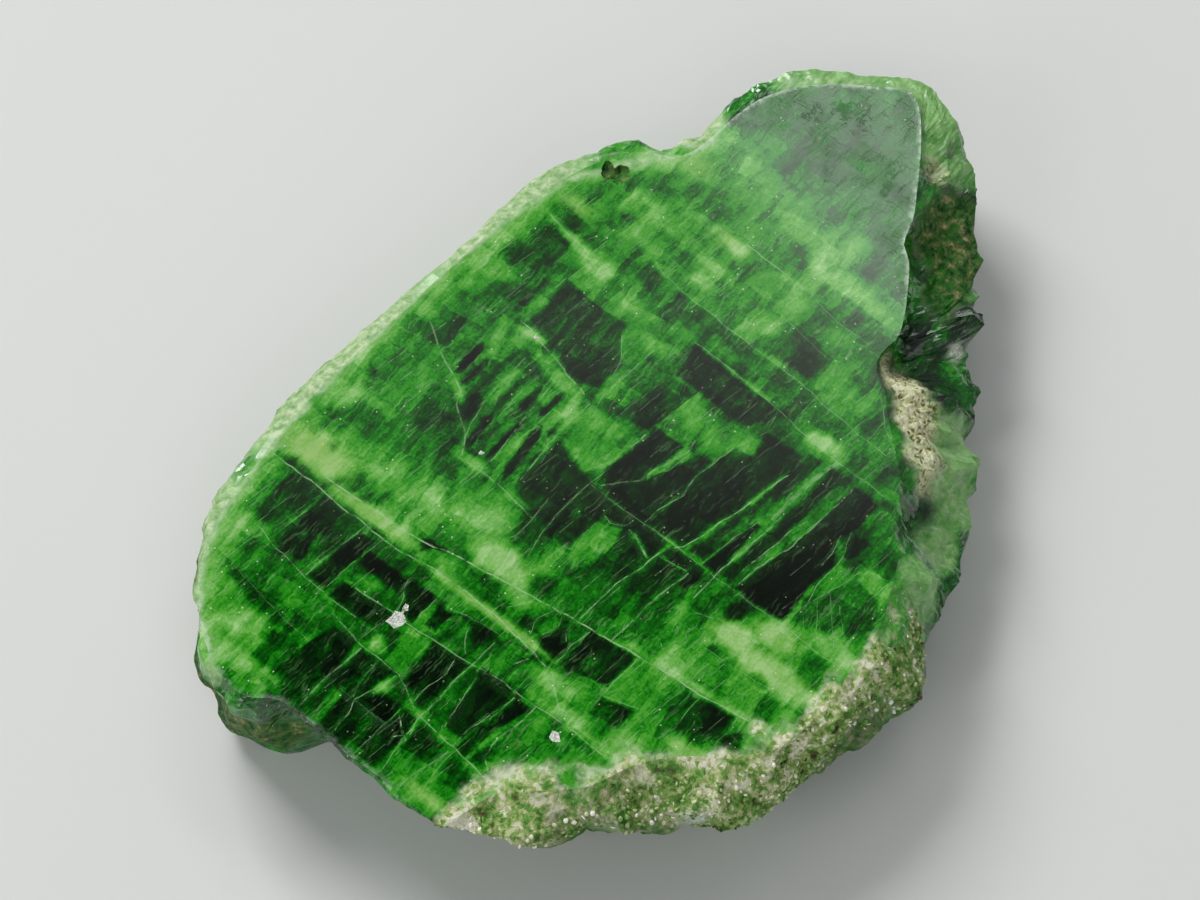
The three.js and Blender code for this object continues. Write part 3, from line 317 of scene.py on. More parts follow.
# Cleavage cracks, across the slice and then along it: line, width, paleness and depth
CRACKS = tuple(Crack(*row) for row in (
    (((-6.5, 13.1), (-4, 12.95), (-2, 12.65)), 0.09, 0.8, 1),
    (((-1, 12.5), (0.5, 12.25), (3.2, 12.1)), 0.06, 0.6, 1),
    (((-1.5, 10.5), (2, 9.9)), 0.05, 0.5, 0.8),
    (((-9.8, 8.75), (-7.5, 8.2), (-3.9, 7.95), (0, 7.7), (3, 7.45), (6, 7.1),
      (8.6, 6.9)), 0.07, 0.6, 1.2),
    (((-16.5, 7.4), (-13.5, 6.8)), 0.12, 0.5, 0.5),
    (((-4.5, 6), (-1, 5.75), (2.2, 5.35), (5, 5.05), (10, 4.75)), 0.07, 0.6, 1.2),
    (((-13, 0.8), (-11.5, 0.5), (-9.5, -0.05), (-7, -0.8)), 0.12, 0.7, 1),
    (((-17, -2.6), (-14.8, -4), (-13.6, -4.4), (-12.4, -5.1), (-12.1, -5.9), (-10.5, -6.9),
      (-9.7, -8.2)), 0.12, 0.7, 1.2),
    (((-3, -5.05), (3, -5.1), (10.5, -5.2), (15, -5.3)), 0.05, 0.65, 2),
    (((-9.8, -8.4), (-8, -8.3), (-6, -8.5), (-4, -8.8)), 0.1, 0.6, 0.8),
    (((8.3, -9), (11, -8.85), (15.3, -8.7)), 0.05, 0.5, 1),
    (((-14.5, -14.1), (-10, -14), (-7, -13.6), (-5, -13.15), (0, -12.5), (3, -12.05), (6, -11.7),
      (10, -11.4), (12.5, -11.1), (13.8, -10.9), (15, -11.3)), 0.11, 1, 2.4),
    (((-18.1, -14.75), (-12, -15), (-8, -15), (-5, -14.6), (-2, -14.7), (0, -14.9), (2, -15.2),
      (3.2, -15.4), (4, -16.2), (5, -17)), 0.11, 0.9, 2),
    (((-3.4, -15.9), (-1, -15.5), (2, -15.2)), 0.05, 0.6, 1),
    (((-8.5, -18.3), (-5, -18.15), (-1, -17.9), (1.5, -17.6), (5, -17.5), (9, -17.45)), 0.08, 0.8, 1.6),
    (((-15.6, -18.8), (-13, -19.3), (-11, -19.6), (-7.2, -19.65)), 0.07, 0.7, 1.2),
    (((-8.5, -20.2), (-6.2, -20.75), (-3.2, -20.85), (-2, -21.4), (-1, -21.9), (2, -22.2),
      (4.6, -22.6)), 0.08, 0.8, 1.6),
    (((-15, -21.4), (-12, -22), (-8.2, -22.4)), 0.05, 0.5, 0.8),
    (((-5, -23.45), (-1.8, -23.5)), 0.04, 0.5, 0.8),
    (((6.1, -14.7), (7.6, -14.3), (8.8, -13.95)), 0.06, 0.6, 1),
    (((1.75, 2.2), (1.3, 0), (1.2, -1), (1.35, -2.4), (1, -3.8), (0.9, -5)), 0.07, 0.8, 1.6),
    (((5, 2.4), (4.6, 0), (4, -2.9), (3.5, -4.9), (2.9, -5.7), (2.6, -7), (2.2, -9.5),
      (2, -12)), 0.09, 0.9, 2),
    (((5.6, -1), (5.3, -3), (5, -5)), 0.05, 0.6, 1.2),
    (((6.6, 5), (6.2, 2), (6.15, -0.5)), 0.34, 0.55),
    (((6.45, 0), (6.3, -2.4), (6.05, -4.9), (6, -7)), 0.09, 0.9, 1.8),
    (((8.4, 4), (8.2, 1.5), (8, -0.9), (7.6, -2.5), (7.3, -4.9)), 0.09, 0.8, 1.8),
    (((7.7, 0.8), (7.35, -0.3), (7.2, -2), (7, -4.2)), 0.1, 0.8, 1.2),
    (((4.75, -6), (4.4, -9), (4.2, -12)), 0.12, 0.7, 1.6),
    (((-3.05, -4.9), (-3.1, -7), (-3, -9), (-2.6, -10.8)), 0.06, 0.7, 1.4),
    (((-4.05, -7.3), (-4, -9.4), (-3.9, -10.4)), 0.08, 0.6, 1),
    (((-10.75, -15.6), (-11.1, -18), (-11.1, -19.5)), 0.14, 0.5, 1.4),
    (((-9.6, -17), (-9.8, -19.3)), 0.06, 0.6, 1),
    (((-14, -15.2), (-14.3, -17), (-14.5, -18.6)), 0.08, 0.3, 1),
    (((-5.75, -20.9), (-5.95, -23), (-5.9, -26)), 0.14, 0.6, 1.8),
    (((-6.6, -16), (-6.2, -17.1), (-5.9, -18)), 0.06, 0.7, 0.8),
    (((-4.75, -16), (-4.7, -17.5)), 0.08, 0.6, 0.8),
    (((-3.3, -21), (-3.5, -22), (-4, -23.4), (-3.6, -24.4), (-3.5, -25.5)), 0.08, 0.8, 1.2),
    (((-0.5, -16), (-0.6, -19), (-0.5, -21), (-0.6, -22.1), (-0.3, -23.2)), 0.12, 0.6, 1.8),
    (((-1.4, -18.2), (-1.2, -19.2), (-1.5, -20.3), (-1.4, -21.5)), 0.06, 0.8, 1.2),
    (((0.1, -18.2), (0.6, -20.2), (0.8, -21.6)), 0.06, 0.8, 1),
    (((2.6, -17.8), (2.2, -19.2), (1.9, -21), (1.8, -22.2)), 0.09, 0.8, 1.6),
    (((3.8, -17.5), (3.6, -19.5), (3.4, -20.9)), 0.12, 0.7, 1.2),
    (((3.4, -20.8), (3.6, -21.6), (4.4, -22.2)), 0.1, 0.7, 0.6),
    (((1.9, -22.5), (1.5, -24.5), (1.4, -25.9)), 0.1, 0.5, 1.2),
    (((2.1, -22.5), (2.2, -24), (2.6, -25.9)), 0.05, 0.5, 0.8),
    (((-1.7, -22.3), (-1.8, -25.9)), 0.06, 0.6, 1),
    (((-4.6, -21.1), (-4.4, -22.6), (-4.1, -23.4)), 0.05, 0.7, 0.8),
    (((-1.5, -22.6), (-0.9, -23.2), (-0.3, -23.6)), 0.09, 1, 0.6),
    (((-0.9, -23.9), (-0.5, -23.3), (-0.4, -22.6)), 0.09, 1, 0.6),
    (((-0.5, -23.6), (-0.2, -24.8), (0, -25.6)), 0.05, 0.8, 0.6),
    (((-13.9, -0.8), (-13.9, -4)), 0.06, 0.5, 1),
    (((-11.2, -1), (-11.1, -4.5), (-10.4, -7)), 0.08, 0.6, 1.2),
    (((-9.8, -1.5), (-9.75, -5)), 0.05, 0.6, 1),
    (((-8.9, -1), (-8.6, -4), (-8.1, -7.5)), 0.08, 0.7, 1.2),
    (((-7.7, -2.5), (-7.9, -6)), 0.05, 0.6, 0.8),
    (((-6.45, -1), (-6.5, -4.6), (-6, -7.4)), 0.07, 0.7, 1),
    (((-5.9, 4), (-6, 2), (-6.1, 0), (-6, -0.8)), 0.09, 0.6, 1.2),
    (((-4.1, 3), (-4.5, 0.8), (-4.7, -0.8)), 0.05, 0.6, 1),
    (((-11.2, 4.4), (-11.3, 2.6)), 0.06, 0.5, 0.6),
    (((-5.3, 6), (-5.2, 4.4)), 0.05, 0.5, 0.6),
    (((-7.9, 3.6), (-7.4, 2.8), (-6.8, 2.1), (-6.6, 0.8)), 0.08, 0.6, 0.8),
    (((10, 1.8), (10.6, 0.2), (10.6, -2), (11, -3.6)), 0.06, 0.8, 0.8),
    (((9.7, 1.3), (10, 0), (10, -0.9)), 0.06, 0.8, 0.6),
    (((11.9, 0), (11.3, -2.2), (10.8, -3.6), (10.7, -5)), 0.06, 0.6, 1),
    (((11.5, -2), (13.8, -4.6)), 0.05, 0.6), (((12.3, -2.2), (14.1, -4.1)), 0.05, 0.6),
    (((11.2, -2.8), (13, -5)), 0.05, 0.6), (((10.9, -3.6), (12, -5)), 0.04, 0.5),
    (((3, -12.2), (2.75, -13.5), (2.9, -14.9)), 0.08, 0.7, 1.2),
    (((0.6, -12.6), (0.3, -13.4), (0.7, -14.5)), 0.05, 0.7, 0.6),
    (((1.9, -12.3), (2, -13), (2.4, -13.5)), 0.06, 0.8, 0.6),
    (((1.2, -12.5), (1.6, -13.2), (1.2, -14)), 0.05, 0.7, 0.6),
    (((6, -11.8), (6.1, -14.6)), 0.07, 0.7, 1.2), (((5.3, -12), (5.2, -14.4)), 0.04, 0.5, 0.8),
    (((7.8, -11.8), (7.5, -13.5)), 0.06, 0.6, 0.6), (((9.1, -11.8), (8.9, -13.8)), 0.05, 0.6, 0.8),
    (((9.7, -11.8), (9.6, -13.8)), 0.04, 0.5, 0.6), (((10.2, -11.6), (10.2, -13.6)), 0.05, 0.6, 0.8),
    (((-2.2, -16.2), (-1.8, -17), (-1.2, -17.6)), 0.06, 0.8, 0.6),
    (((1.6, -15.6), (1.3, -16.4), (1.1, -17)), 0.12, 0.8, 0.6),
    (((2, 5.2), (2.3, 3.8), (1.8, 2.2)), 0.07, 0.5, 0.8),
    (((-4, 22.5), (-4.2, 20.4), (-4.6, 18)), 0.05, 0.35),
    (((-0.4, 20.4), (-0.7, 18.6), (-1, 17)), 0.05, 0.35),
    (((3, 7.4), (3.05, 6)), 0.07, 0.5, 0.6), (((7, 9), (7, 7)), 0.05, 0.6, 0.6),
    (((7.9, 8.3), (7.7, 6.5)), 0.07, 0.6, 0.6), (((9, 7), (8.8, 6)), 0.06, 0.6, 0.4),
    (((5.7, 9.9), (7.2, 8.4), (9, 7)), 0.07, 0.7, 0.6),
    (((0.5, -5.85), (1.3, -6.15), (2.5, -6.75)), 0.14, 0.9, 0.8),
    (((-1.1, -6.05), (-0.5, -6.15), (0.2, -5.9), (0.4, -5.2)), 0.06, 0.7, 0.8),
    (((-1.2, -6.7), (-1.25, -8), (-1.1, -9)), 0.05, 0.7, 0.8),
    (((2.9, -6.2), (3.8, -5.95), (4.5, -5.95)), 0.06, 0.7, 0.6),
    (((-2.9, -1), (-3, -3), (-3.7, -4.7)), 0.06, 0.6, 0.8),
    (((-2.7, -0.5), (-2.8, -1.7)), 0.14, 0.8, 0.4),
    (((-0.4, 1), (-0.2, 0), (-0.8, -2), (-1, -3), (-1.8, -3.9), (-2.5, -4.8)), 0.11, 0.55, 1),
    (((-12.6, -6.2), (-12.4, -7), (-12.5, -9.4)), 0.05, 0.4, 0.6),
    (((-1.4, -14), (-0.6, -12.8)), 0.06, 0.9, 0.4),
    (((12.4, -11.2), (12.7, -12.2), (13.4, -12.4), (13.8, -11.3)), 0.06, 0.7, 0.4),
    (((-9.2, -1.4), (-9, -2.4), (-8.9, -3.4)), 0.04, 0.5), (((0.6, -2.9), (0.3, -4.6)), 0.05, 0.4, 0.6),
    (((8.2, -7.2), (8.6, -8.6)), 0.05, 0.8), (((6.6, -7.6), (7.6, -7.3)), 0.05, 0.8),
    (((6.3, -10.2), (7.9, -11.4)), 0.05, 0.7), (((3.9, -10.2), (4.4, -11.2)), 0.05, 0.7),
    (((-15, 14.6), (-14, 14.75), (-13.6, 14.8)), 0.1, 0.8), (((-12.8, 16.7), (-12.5, 17)), 0.14, 0.9),
))

# Stone of the broken wall: plan place and height above the table, reach, stone and strength
WALL = tuple(WallPatch(*row) for row in (
    ((-14, 18, 6.5), 2.4, Stone.RIM), ((-19.2, 6, 6), 6.5, Stone.RIM),
    ((-19.6, -8, 6), 8, Stone.RIM), ((-17.5, -21, 6), 4.5, Stone.RIM),
    ((-17.2, -22.5, 3.2), 4, Stone.OLIVE, 0.95), ((-14, -26.2, 3.6), 3.2, Stone.OLIVE, 0.85),
    ((-15.4, -24.6, 6.4), 1.5, Stone.GRAIN, 0.6),
    ((-15.5, -24.8, 7.2), 1.8, Stone.RIM, 0.7), ((-10, 26.8, 7), 4.5, Stone.MINT),
    ((-5, 28.6, 7), 3, Stone.MINT), ((-15.6, 12, 7.7), 1.5, Stone.OLIVE),
    ((-1.8, 26.4, 6.8), 2.2, Stone.MINT, 0.8),
    ((-1.7, 24.6, 7.2), 0.8, Stone.CRUST, 0.5), ((1.6, 22.6, 5.4), 3.2, Stone.OLIVE),
    ((3.6, 19.2, 5.4), 1.8, Stone.OLIVE, 0.8), ((5.6, 18.8, 4.6), 1.5, Stone.GLASS),
    ((4.2, 15.4, 6.4), 1.4, Stone.GLASS, 0.9), ((5.3, 15.8, 6.6), 0.7, Stone.OLIVE),
    ((6.3, 16.9, 5), 0.8, Stone.WHITE, 0.9), ((5.6, 12.2, 6.8), 1.9, Stone.CRUST),
    ((7.6, 10.4, 6.6), 1.9, Stone.CRUST), ((9.8, 8.4, 6.4), 1.9, Stone.CRUST, 0.9),
    ((14.2, -0.8, 6.8), 1.2, Stone.CRUST, 0.7), ((16.6, 0.6, 5.6), 1.6, Stone.MINT, 0.9),
    ((7.2, 13.4, 5.2), 1.8, Stone.GLASS, 0.8), ((10, 11.5, 4.6), 2.4, Stone.MINT),
    ((12, 8.8, 4.8), 2.2, Stone.MINT), ((11.6, 5.6, 6.8), 1.1, Stone.GLASS),
    ((13.4, 5.8, 5.6), 1.8, Stone.MINT), ((14.8, 2.2, 6.2), 2.1, Stone.MINT, 0.95),
    ((13.9, 4.3, 6.6), 0.8, Stone.WHITE, 0.5), ((12.5, 1.2, 7.6), 0.8, Stone.GRAIN, 0.9),
    ((15.6, -0.6, 5.4), 1.8, Stone.GRAIN), ((16.6, -3.2, 5), 2.6, Stone.GRAIN),
    ((16.2, -7.5, 6), 3.2, Stone.GRAIN), ((15.4, -11.5, 6.6), 3, Stone.GRAIN),
    ((13.5, -15.5, 7), 3.4, Stone.GRAIN), ((11, -18.6, 7), 3.4, Stone.GRAIN),
    ((8.4, -21.8, 7.2), 3.2, Stone.GRAIN), ((6.4, -23.8, 7.2), 2.4, Stone.GRAIN, 0.9),
    ((14.3, -17.2, 6.6), 1.1, Stone.WHITE, 0.8), ((11.2, -20.4, 6.8), 0.9, Stone.WHITE, 0.8),
    ((9, -19, 2.5), 7, Stone.OLIVE, 0.7), ((16, -6, 1.5), 5.5, Stone.OLIVE, 0.7),
    ((-10.5, -27, 3.6), 3.2, Stone.OLIVE, 0.95), ((-7.2, -27.2, 3.6), 2.8, Stone.OLIVE, 0.95),
    ((-10.9, -26.6, 7.6), 1.1, Stone.RIM, 0.6),
    ((-6.4, -26.2, 7), 1, Stone.GLASS),
))


def fraction(values: np.ndarray) -> np.ndarray:
    """The part of each value after its whole number."""
    return values - np.floor(values)


def smoothstep(values: np.ndarray) -> np.ndarray:
    """Values held between 0 and 1 and eased at both ends."""
    held = np.clip(values, 0, 1)
    return held * held * (3 - 2 * held)


def lattice_noise(at: np.ndarray, seed: float = 0.0) -> np.ndarray:
    """Smooth noise between 0 and 1.

    Args:
        at: points as rows of two or three numbers; one unit is one cell of the noise.
        seed: picks another noise.

    Returns:
        One value for each point.
    """
    whole = np.floor(at)
    eased = (at - whole) ** 2 * (3 - 2 * (at - whole))
    steps = np.array([127.1, 311.7, 74.7])[: at.shape[1]]
    total = np.zeros(len(at))
    for corner in range(2 ** at.shape[1]):
        offset = np.array([corner >> axis & 1 for axis in range(at.shape[1])])
        weight = np.prod(np.where(offset == 1, eased, 1 - eased), axis=1)
        total += weight * fraction(np.sin((whole + offset) @ steps + seed * 17.3) * 43758.5453)
    return total


def jitter(at: np.ndarray, *seeds: float) -> np.ndarray:
    """Noise between -0.5 and 0.5 for each point, with a column for each seed."""
    return np.column_stack([lattice_noise(at, seed) for seed in seeds]) - 0.5


def cloud_noise(at: np.ndarray, seed: float = 0.0, octaves: int = 3) -> np.ndarray:
    """Noise of several scales, each half as large and half as strong as the last."""
    parts = [lattice_noise(at * 2**k, seed + k) / 2**k for k in range(octaves)]
    return sum(parts) / sum(1 / 2**k for k in range(octaves))


def distance_to_line(at: np.ndarray, line: np.ndarray) -> np.ndarray:
    """Distance from each point to an open line of straight pieces.

    Args:
        at: points as rows of x and y.
        line: the line's points as rows of x and y.

    Returns:
        One distance for each point.
    """
    nearest = np.full(len(at), np.inf)
    for start, end in zip(line[:-1], line[1:]):
        along = end - start
        share = np.clip((at - start) @ along / max(along @ along, 1e-12), 0, 1)
        nearest = np.minimum(nearest, np.linalg.norm(at - start - share[:, None] * along, axis=1))
    return nearest


def inside_outline(at: np.ndarray, outline: np.ndarray) -> np.ndarray:
    """Tells which points are inside a closed outline, by the even-odd rule.

    Args:
        at: points as rows of x and y.
        outline: the outline's points, the first not repeated.

    Returns:
        True for each point inside.
    """
    inside = np.zeros(len(at), bool)
    for start, end in zip(outline, np.roll(outline, -1, axis=0)):
        if start[1] == end[1]:
            continue
        crosses = (start[1] > at[:, 1]) != (end[1] > at[:, 1])
        where = start[0] + (at[:, 1] - start[1]) * (end[0] - start[0]) / (end[1] - start[1])
        inside ^= crosses & (at[:, 0] < where)
    return inside


def depth_inside(at: np.ndarray, outline: np.ndarray) -> np.ndarray:
    """Distance to the edge of a closed outline, above 0 inside and below 0 outside."""
    away = distance_to_line(at, np.vstack([outline, outline[:1]]))
    return np.where(inside_outline(at, outline), away, -away)


def strip_of(line: Outline, width: float, taper: float = 0.15) -> np.ndarray:
    """Closed outline of a strip along a line, pointed at both ends.

    Args:
        line: the line's points.
        width: width of the strip.
        taper: share of the first and last piece of the line that narrows to the point.

    Returns:
        The outline's points as rows of x and y.
    """
    points = np.array(line, float)
    first, last = points[0] + taper * (points[1] - points[0]), points[-1] + taper * (points[-2] - points[-1])
    points = np.vstack([points[:1], first, points[1:-1], last, points[-1:]])
    along = np.gradient(points, axis=0)
    along /= np.linalg.norm(along, axis=1)[:, None]
    side = np.column_stack([-along[:, 1], along[:, 0]]) * width / 2
    left, right = points + side, points - side
    return np.vstack([points[:1], left[1:-1], points[-1:], right[-2:0:-1]])


def wandered(points: np.ndarray, amount: float) -> np.ndarray:
    """Moves points a little, neighbours alike, so that straight lines become natural ones.

    Args:
        points: rows of x and y.
        amount: how far they wander.

    Returns:
        The moved points.
    """
    broad = jitter(points * 0.8, 51.0, 57.0)
    fine = jitter(points * 3.1, 61.0, 67.0)
    return points + amount * (0.3 * broad + 0.16 * fine)


def natural(line: np.ndarray, closed: bool = False, piece: float = 0.45, amount: float = 0.6) -> np.ndarray:
    """A line cut into short pieces whose ends wander a little.

    Args:
        line: the line's points.
        closed: whether the last point joins the first.
        piece: longest piece.
        amount: how far the ends wander.

    Returns:
        The new points as rows of x and y.
    """
    points = np.array(line, float)
    if closed:
        points = np.vstack([points, points[:1]])
    parts = []
    for start, end in zip(points[:-1], points[1:]):
        count = max(1, math.ceil(np.linalg.norm(end - start) / piece))
        parts.append(start + (end - start) * np.linspace(0, 1, count, endpoint=False)[:, None])
    if not closed:
        parts.append(points[-1:])
    return wandered(np.vstack(parts), amount)


def linked(name: str, data: bpy.types.ID) -> bpy.types.Object:
    """Puts some data in the scene.

    Args:
        name: name of its object.
        data: a mesh, lamp or camera.

    Returns:
        The object.
    """
    holder = bpy.data.objects.new(name, data)
    bpy.context.scene.collection.objects.link(holder)
    return holder


@dataclass
class CrystalPattern:
    """What the eye sees in the polished face: blocks, needles, clouds and cracks."""

    band_height: float = 1.75
    band_lean: float = 0.09
    column_width: float = 1.35
    column_lean: float = 0.12
    least_tone: float = 0.05
    cell_contrast: float = 0.16
    lit_below: float = -6.0
    lit_foot: float = 0.17
    crack_width: float = 0.75
    hairline_share: float = 0.3
    hairline_top: float = 11.0
    hairline_width: float = 0.05
    hairline_pale: float = 0.5
    calm_from: float = 15.0
    calm_to: float = 19.0
    shades: tuple = (
        ((-5, 24), 6.0, 0.62), ((-6, 14), 8.0, 0.57), ((-4, 8), 9.0, 0.49), ((-12, -1), 8.0, 0.57),
        ((0, 0), 8.0, 0.63), ((10, 0), 6.0, 0.55), ((-14, -8), 5.0, 0.64), ((2, -9), 6.0, 0.56),
        ((12, -10), 5.0, 0.50), ((-13, -17), 6.0, 0.60), ((-3, -18), 6.0, 0.60), ((7, -16), 5.0, 0.48),
        ((-13, -23), 5.0, 0.52), ((-4, -24), 6.0, 0.62), ((4, -23), 4.0, 0.52),
    )
    granular: Outline = (
        (5.0, -24.4), (5.3, -22.8), (6.6, -20.6), (9.0, -20.2), (9.4, -17.6), (10.6, -16.9), (12.2, -15.6),
        (12.8, -14.2), (14.3, -13.5), (14.9, -11.6), (15.5, -9.0), (15.9, -6.0), (16.1, -3.0),
        (20.0, -3.0), (20.0, -28.0), (4.4, -28.0),
    )
    granular_soft: float = 2.1
    crisp_below: float = 0.14
    crisp_edge: float = 0.04
    flecks: tuple[Outline, ...] = (
        ((-5.85, -17.35), (-5.6, -17.25), (-5.4, -17.5), (-5.5, -17.8), (-5.15, -17.95), (-5.0, -18.05),
         (-5.0, -18.5), (-5.2, -18.9), (-5.55, -18.8), (-5.9, -18.85), (-5.8, -18.4), (-5.95, -18.05),
         (-5.65, -17.9), (-5.8, -17.65)),
        ((5.4, -18.1), (5.7, -18.0), (6.1, -18.35), (5.8, -18.6), (5.5, -18.45)),
        ((-11.75, 0.5), (-11.5, 0.55), (-11.45, 0.35), (-11.7, 0.3)),
        ((-9.05, -7.3), (-8.8, -7.3), (-8.8, -7.5), (-9.0, -7.55)),
    )
    scuffs: tuple[Outline, ...] = (
        ((-9.9, 23.4), (-9.3, 23.6), (-8.9, 22.6), (-9.4, 21.9), (-9.9, 22.4)),
        ((-8.8, 25.2), (-8.0, 25.0), (-7.5, 23.5), (-8.2, 23.2), (-8.9, 24.2)),
        ((-6.9, 24.6), (-6.4, 24.8), (-6.2, 24.1), (-6.8, 23.9)),
        ((-6.4, 20.4), (-6.1, 20.3), (-5.2, 19.3), (-5.5, 19.1)),
        ((-3.6, 23.2), (-3.3, 23.4), (-2.5, 20.9), (-2.8, 20.8)),
    )
    rim: Outline = (
        (-12.6, 17.8), (-13.2, 15.9), (-15.5, 12.8), (-17.4, 9.9), (-18.3, 5.0), (-18.7, -1.0),
        (-18.7, -8.0), (-18.3, -14.5), (-17.4, -19.5), (-16.2, -22.4), (-14.0, -25.0), (-12.0, -26.3),
    )
    rim_reach: float = 0.45
    haze_reach: float = 1.9
    rim_haze: float = 0.85
    rim_tone: float = 0.2
    needle_share: float = 0.75
    needle_wander: float = 0.15
    hairline_wander: float = 0.3
    slice_half: float = 19.0

    def __post_init__(self) -> None:
        """Gives every outline its natural edge once."""
        self.blocks = [(natural(b.outline, True), b.tone, self.edge_of(b), self.foot_of(b)) for b in BLOCKS]
        for line, width, tone in NEEDLES:
            outline = natural(strip_of(line, self.needle_share * width), True, 0.6, self.needle_wander)
            self.blocks.append((outline, tone, 0.05, None))
        self.cracks = [(natural(crack.line), crack) for crack in CRACKS]
        self.strips = [(strip_of(line, self.crack_width * one.width), one.pale) for line, one in self.cracks]
        for number, line in enumerate(self.lattice_lines()):
            chosen = fraction(np.sin(np.array(number * 7.13)) * 9151.3) < self.hairline_share
            within = abs(line[:, 0]).max() < self.slice_half and line[:, 1].max() < self.hairline_top
            if chosen and within:
                strip = strip_of(natural(line, amount=self.hairline_wander), self.hairline_width)
                self.strips.append((strip, self.hairline_pale))

    def edge_of(self, block: Block) -> float:
        """Softness of a block's edge: the sharper ones follow the edges of the mesh."""
        return self.crisp_edge if block.soft < self.crisp_below else 0.7 * block.soft

    def foot_of(self, block: Block) -> float | None:
        """Tone at a block's foot: dark blocks low on the slice catch some light there."""
        low = np.array(block.outline)[:, 1].mean() < self.lit_below
        return block.tone - self.lit_foot if block.foot is None and low and block.tone > 0.7 else block.foot

    def lattice(self, at: np.ndarray) -> tuple[np.ndarray, np.ndarray]:
        """Cleavage bands and columns that hold each point.

        Args:
            at: points of the face, in plan millimetres.

        Returns:
            The bands' and the columns' whole numbers.
        """
        band = np.floor((at[:, 1] + self.band_lean * at[:, 0]) / self.band_height)
        shift = fraction(np.sin(band * 12.9) * 4375.8)
        column = np.floor((at[:, 0] - self.column_lean * at[:, 1]) / self.column_width + shift)
        return band, column

    def lattice_lines(self, reach: float = 32.0) -> list[np.ndarray]:
        """Edges of the lattice's bands and columns.

        Args:
            reach: half the width that they cover.

        Returns:
            Straight lines of two points each.
        """
        lines = []
        for band in range(int(-reach / self.band_height), int(reach / self.band_height)):
            base = band * self.band_height
            lines.append(np.array([[x, base - self.band_lean * x] for x in (-reach, reach)]))
            shift = fraction(np.sin(np.array(band * 12.9)) * 4375.8)
            for column in range(-14, 14):
                lean = self.column_lean
                across = (column - shift) * self.column_width
                ends = []
                for height in (base, base + self.band_height):
                    y = (height - self.band_lean * across) / (1 + self.band_lean * lean)
                    ends.append([across + lean * y, y])
                lines.append(np.array(ends))
        return lines

    def base_tone(self, at: np.ndarray) -> np.ndarray:
        """Broad tone before blocks and clouds.

        Args:
            at: points of the face, in plan millimetres.

        Returns:
            One tone for each point.
        """
        total, weights = np.zeros(len(at)), np.full(len(at), 1e-6)
        for centre, reach, tone in self.shades:
            weight = np.exp(-2 * (np.linalg.norm(at - centre, axis=1) / reach) ** 2)
            total += weight * tone
            weights += weight
        return total / weights

    def tone_at(self, at: np.ndarray) -> np.ndarray:
        """Tone of the polished face.

        Args:
            at: points of the face, in plan millimetres.

        Returns:
            One tone for each point.
        """
        band, column = self.lattice(at)
        cell = fraction(np.sin(band * 91.7 + column * 37.3) * 9631.7)
        drift = cloud_noise(at * np.array([0.45, 0.35]), 3.0) - 0.5
        varied = self.cell_contrast * (cell - 0.5) + 0.45 * drift
        tone = self.base_tone(at) + varied * (1 - 0.75 * self.calm_at(at))
        for outline, value, soft, foot in self.blocks:
            self.lay(tone, at, outline, value, soft, foot)
        wisps = cloud_noise(at * np.array([1.1, 0.8]), 8.0, 4) - 0.5
        for cloud in CLOUDS:
            turn = math.radians(cloud.turn)
            spin = np.array([[math.cos(turn), -math.sin(turn)], [math.sin(turn), math.cos(turn)]])
            away = np.linalg.norm((at - cloud.centre) @ spin / cloud.reach, axis=1) + 1.3 * wisps
            tone += (self.least_tone - tone) * cloud.strength * smoothstep((1.4 - away) / 1.0)
        for line, crack in self.cracks:
            reach = 0.07 + 0.8 * crack.width
            near = np.all((at > line.min(0) - 4 * reach) & (at < line.max(0) + 4 * reach), axis=1)
            glow = 0.22 * crack.pale * np.exp(-distance_to_line(at[near], line) / reach)
            tone[near] += (0.25 - tone[near]) * glow
        from_rim = distance_to_line(at, np.array(self.rim)) + 0.9 * wisps
        haze = self.rim_haze * smoothstep((self.haze_reach - from_rim) / self.haze_reach)
        tone += (self.rim_tone - tone) * haze
        return np.clip(tone, 0, 1.05)

    @staticmethod
    def lay(
        tone: np.ndarray, at: np.ndarray, outline: np.ndarray, value: float, soft: float, foot: float | None
    ) -> None:
        """Lays one outline's tone over the others.

        Args:
            tone: tones so far, which are changed.
            at: point of each tone, in plan millimetres.
            outline: the outline's points.
            value: tone inside it.
            soft: softness of its edge.
            foot: tone at its foot, or None if it is even.
        """
        margin = soft + 0.05
        near = np.all((at > outline.min(0) - margin) & (at < outline.max(0) + margin), axis=1)
        share = smoothstep(depth_inside(at[near], outline) / (2 * soft) + 0.5)
        if foot is not None:
            low, high = outline[:, 1].min(), outline[:, 1].max()
            value = foot + (value - foot) * smoothstep((at[near, 1] - low) / (high - low))
        tone[near] += (value - tone[near]) * share

    def crack_at(self, at: np.ndarray) -> np.ndarray:
        """How pale the crack is that holds each point.

        Args:
            at: points of the face, in plan millimetres.

        Returns:
            One share for each point, 0 outside the cracks.
        """
        pale = np.zeros(len(at))
        for strip, strength in self.strips:
            near = np.all((at > strip.min(0)) & (at < strip.max(0)), axis=1)
            pale[near] = np.maximum(pale[near], strength * inside_outline(at[near], strip))
        return pale

    def yellow_at(self, at: np.ndarray) -> np.ndarray:
        """How yellow the milk is.

        Args:
            at: points of the face, in plan millimetres.

        Returns:
            One share for each point.
        """
        yellow = np.zeros(len(at))
        for cloud in CLOUDS:
            if cloud.yellow:
                away = np.linalg.norm((at - cloud.centre) / (np.array(cloud.reach) * 1.2), axis=1)
                yellow = np.maximum(yellow, cloud.yellow * smoothstep(1.2 - away))
        return yellow

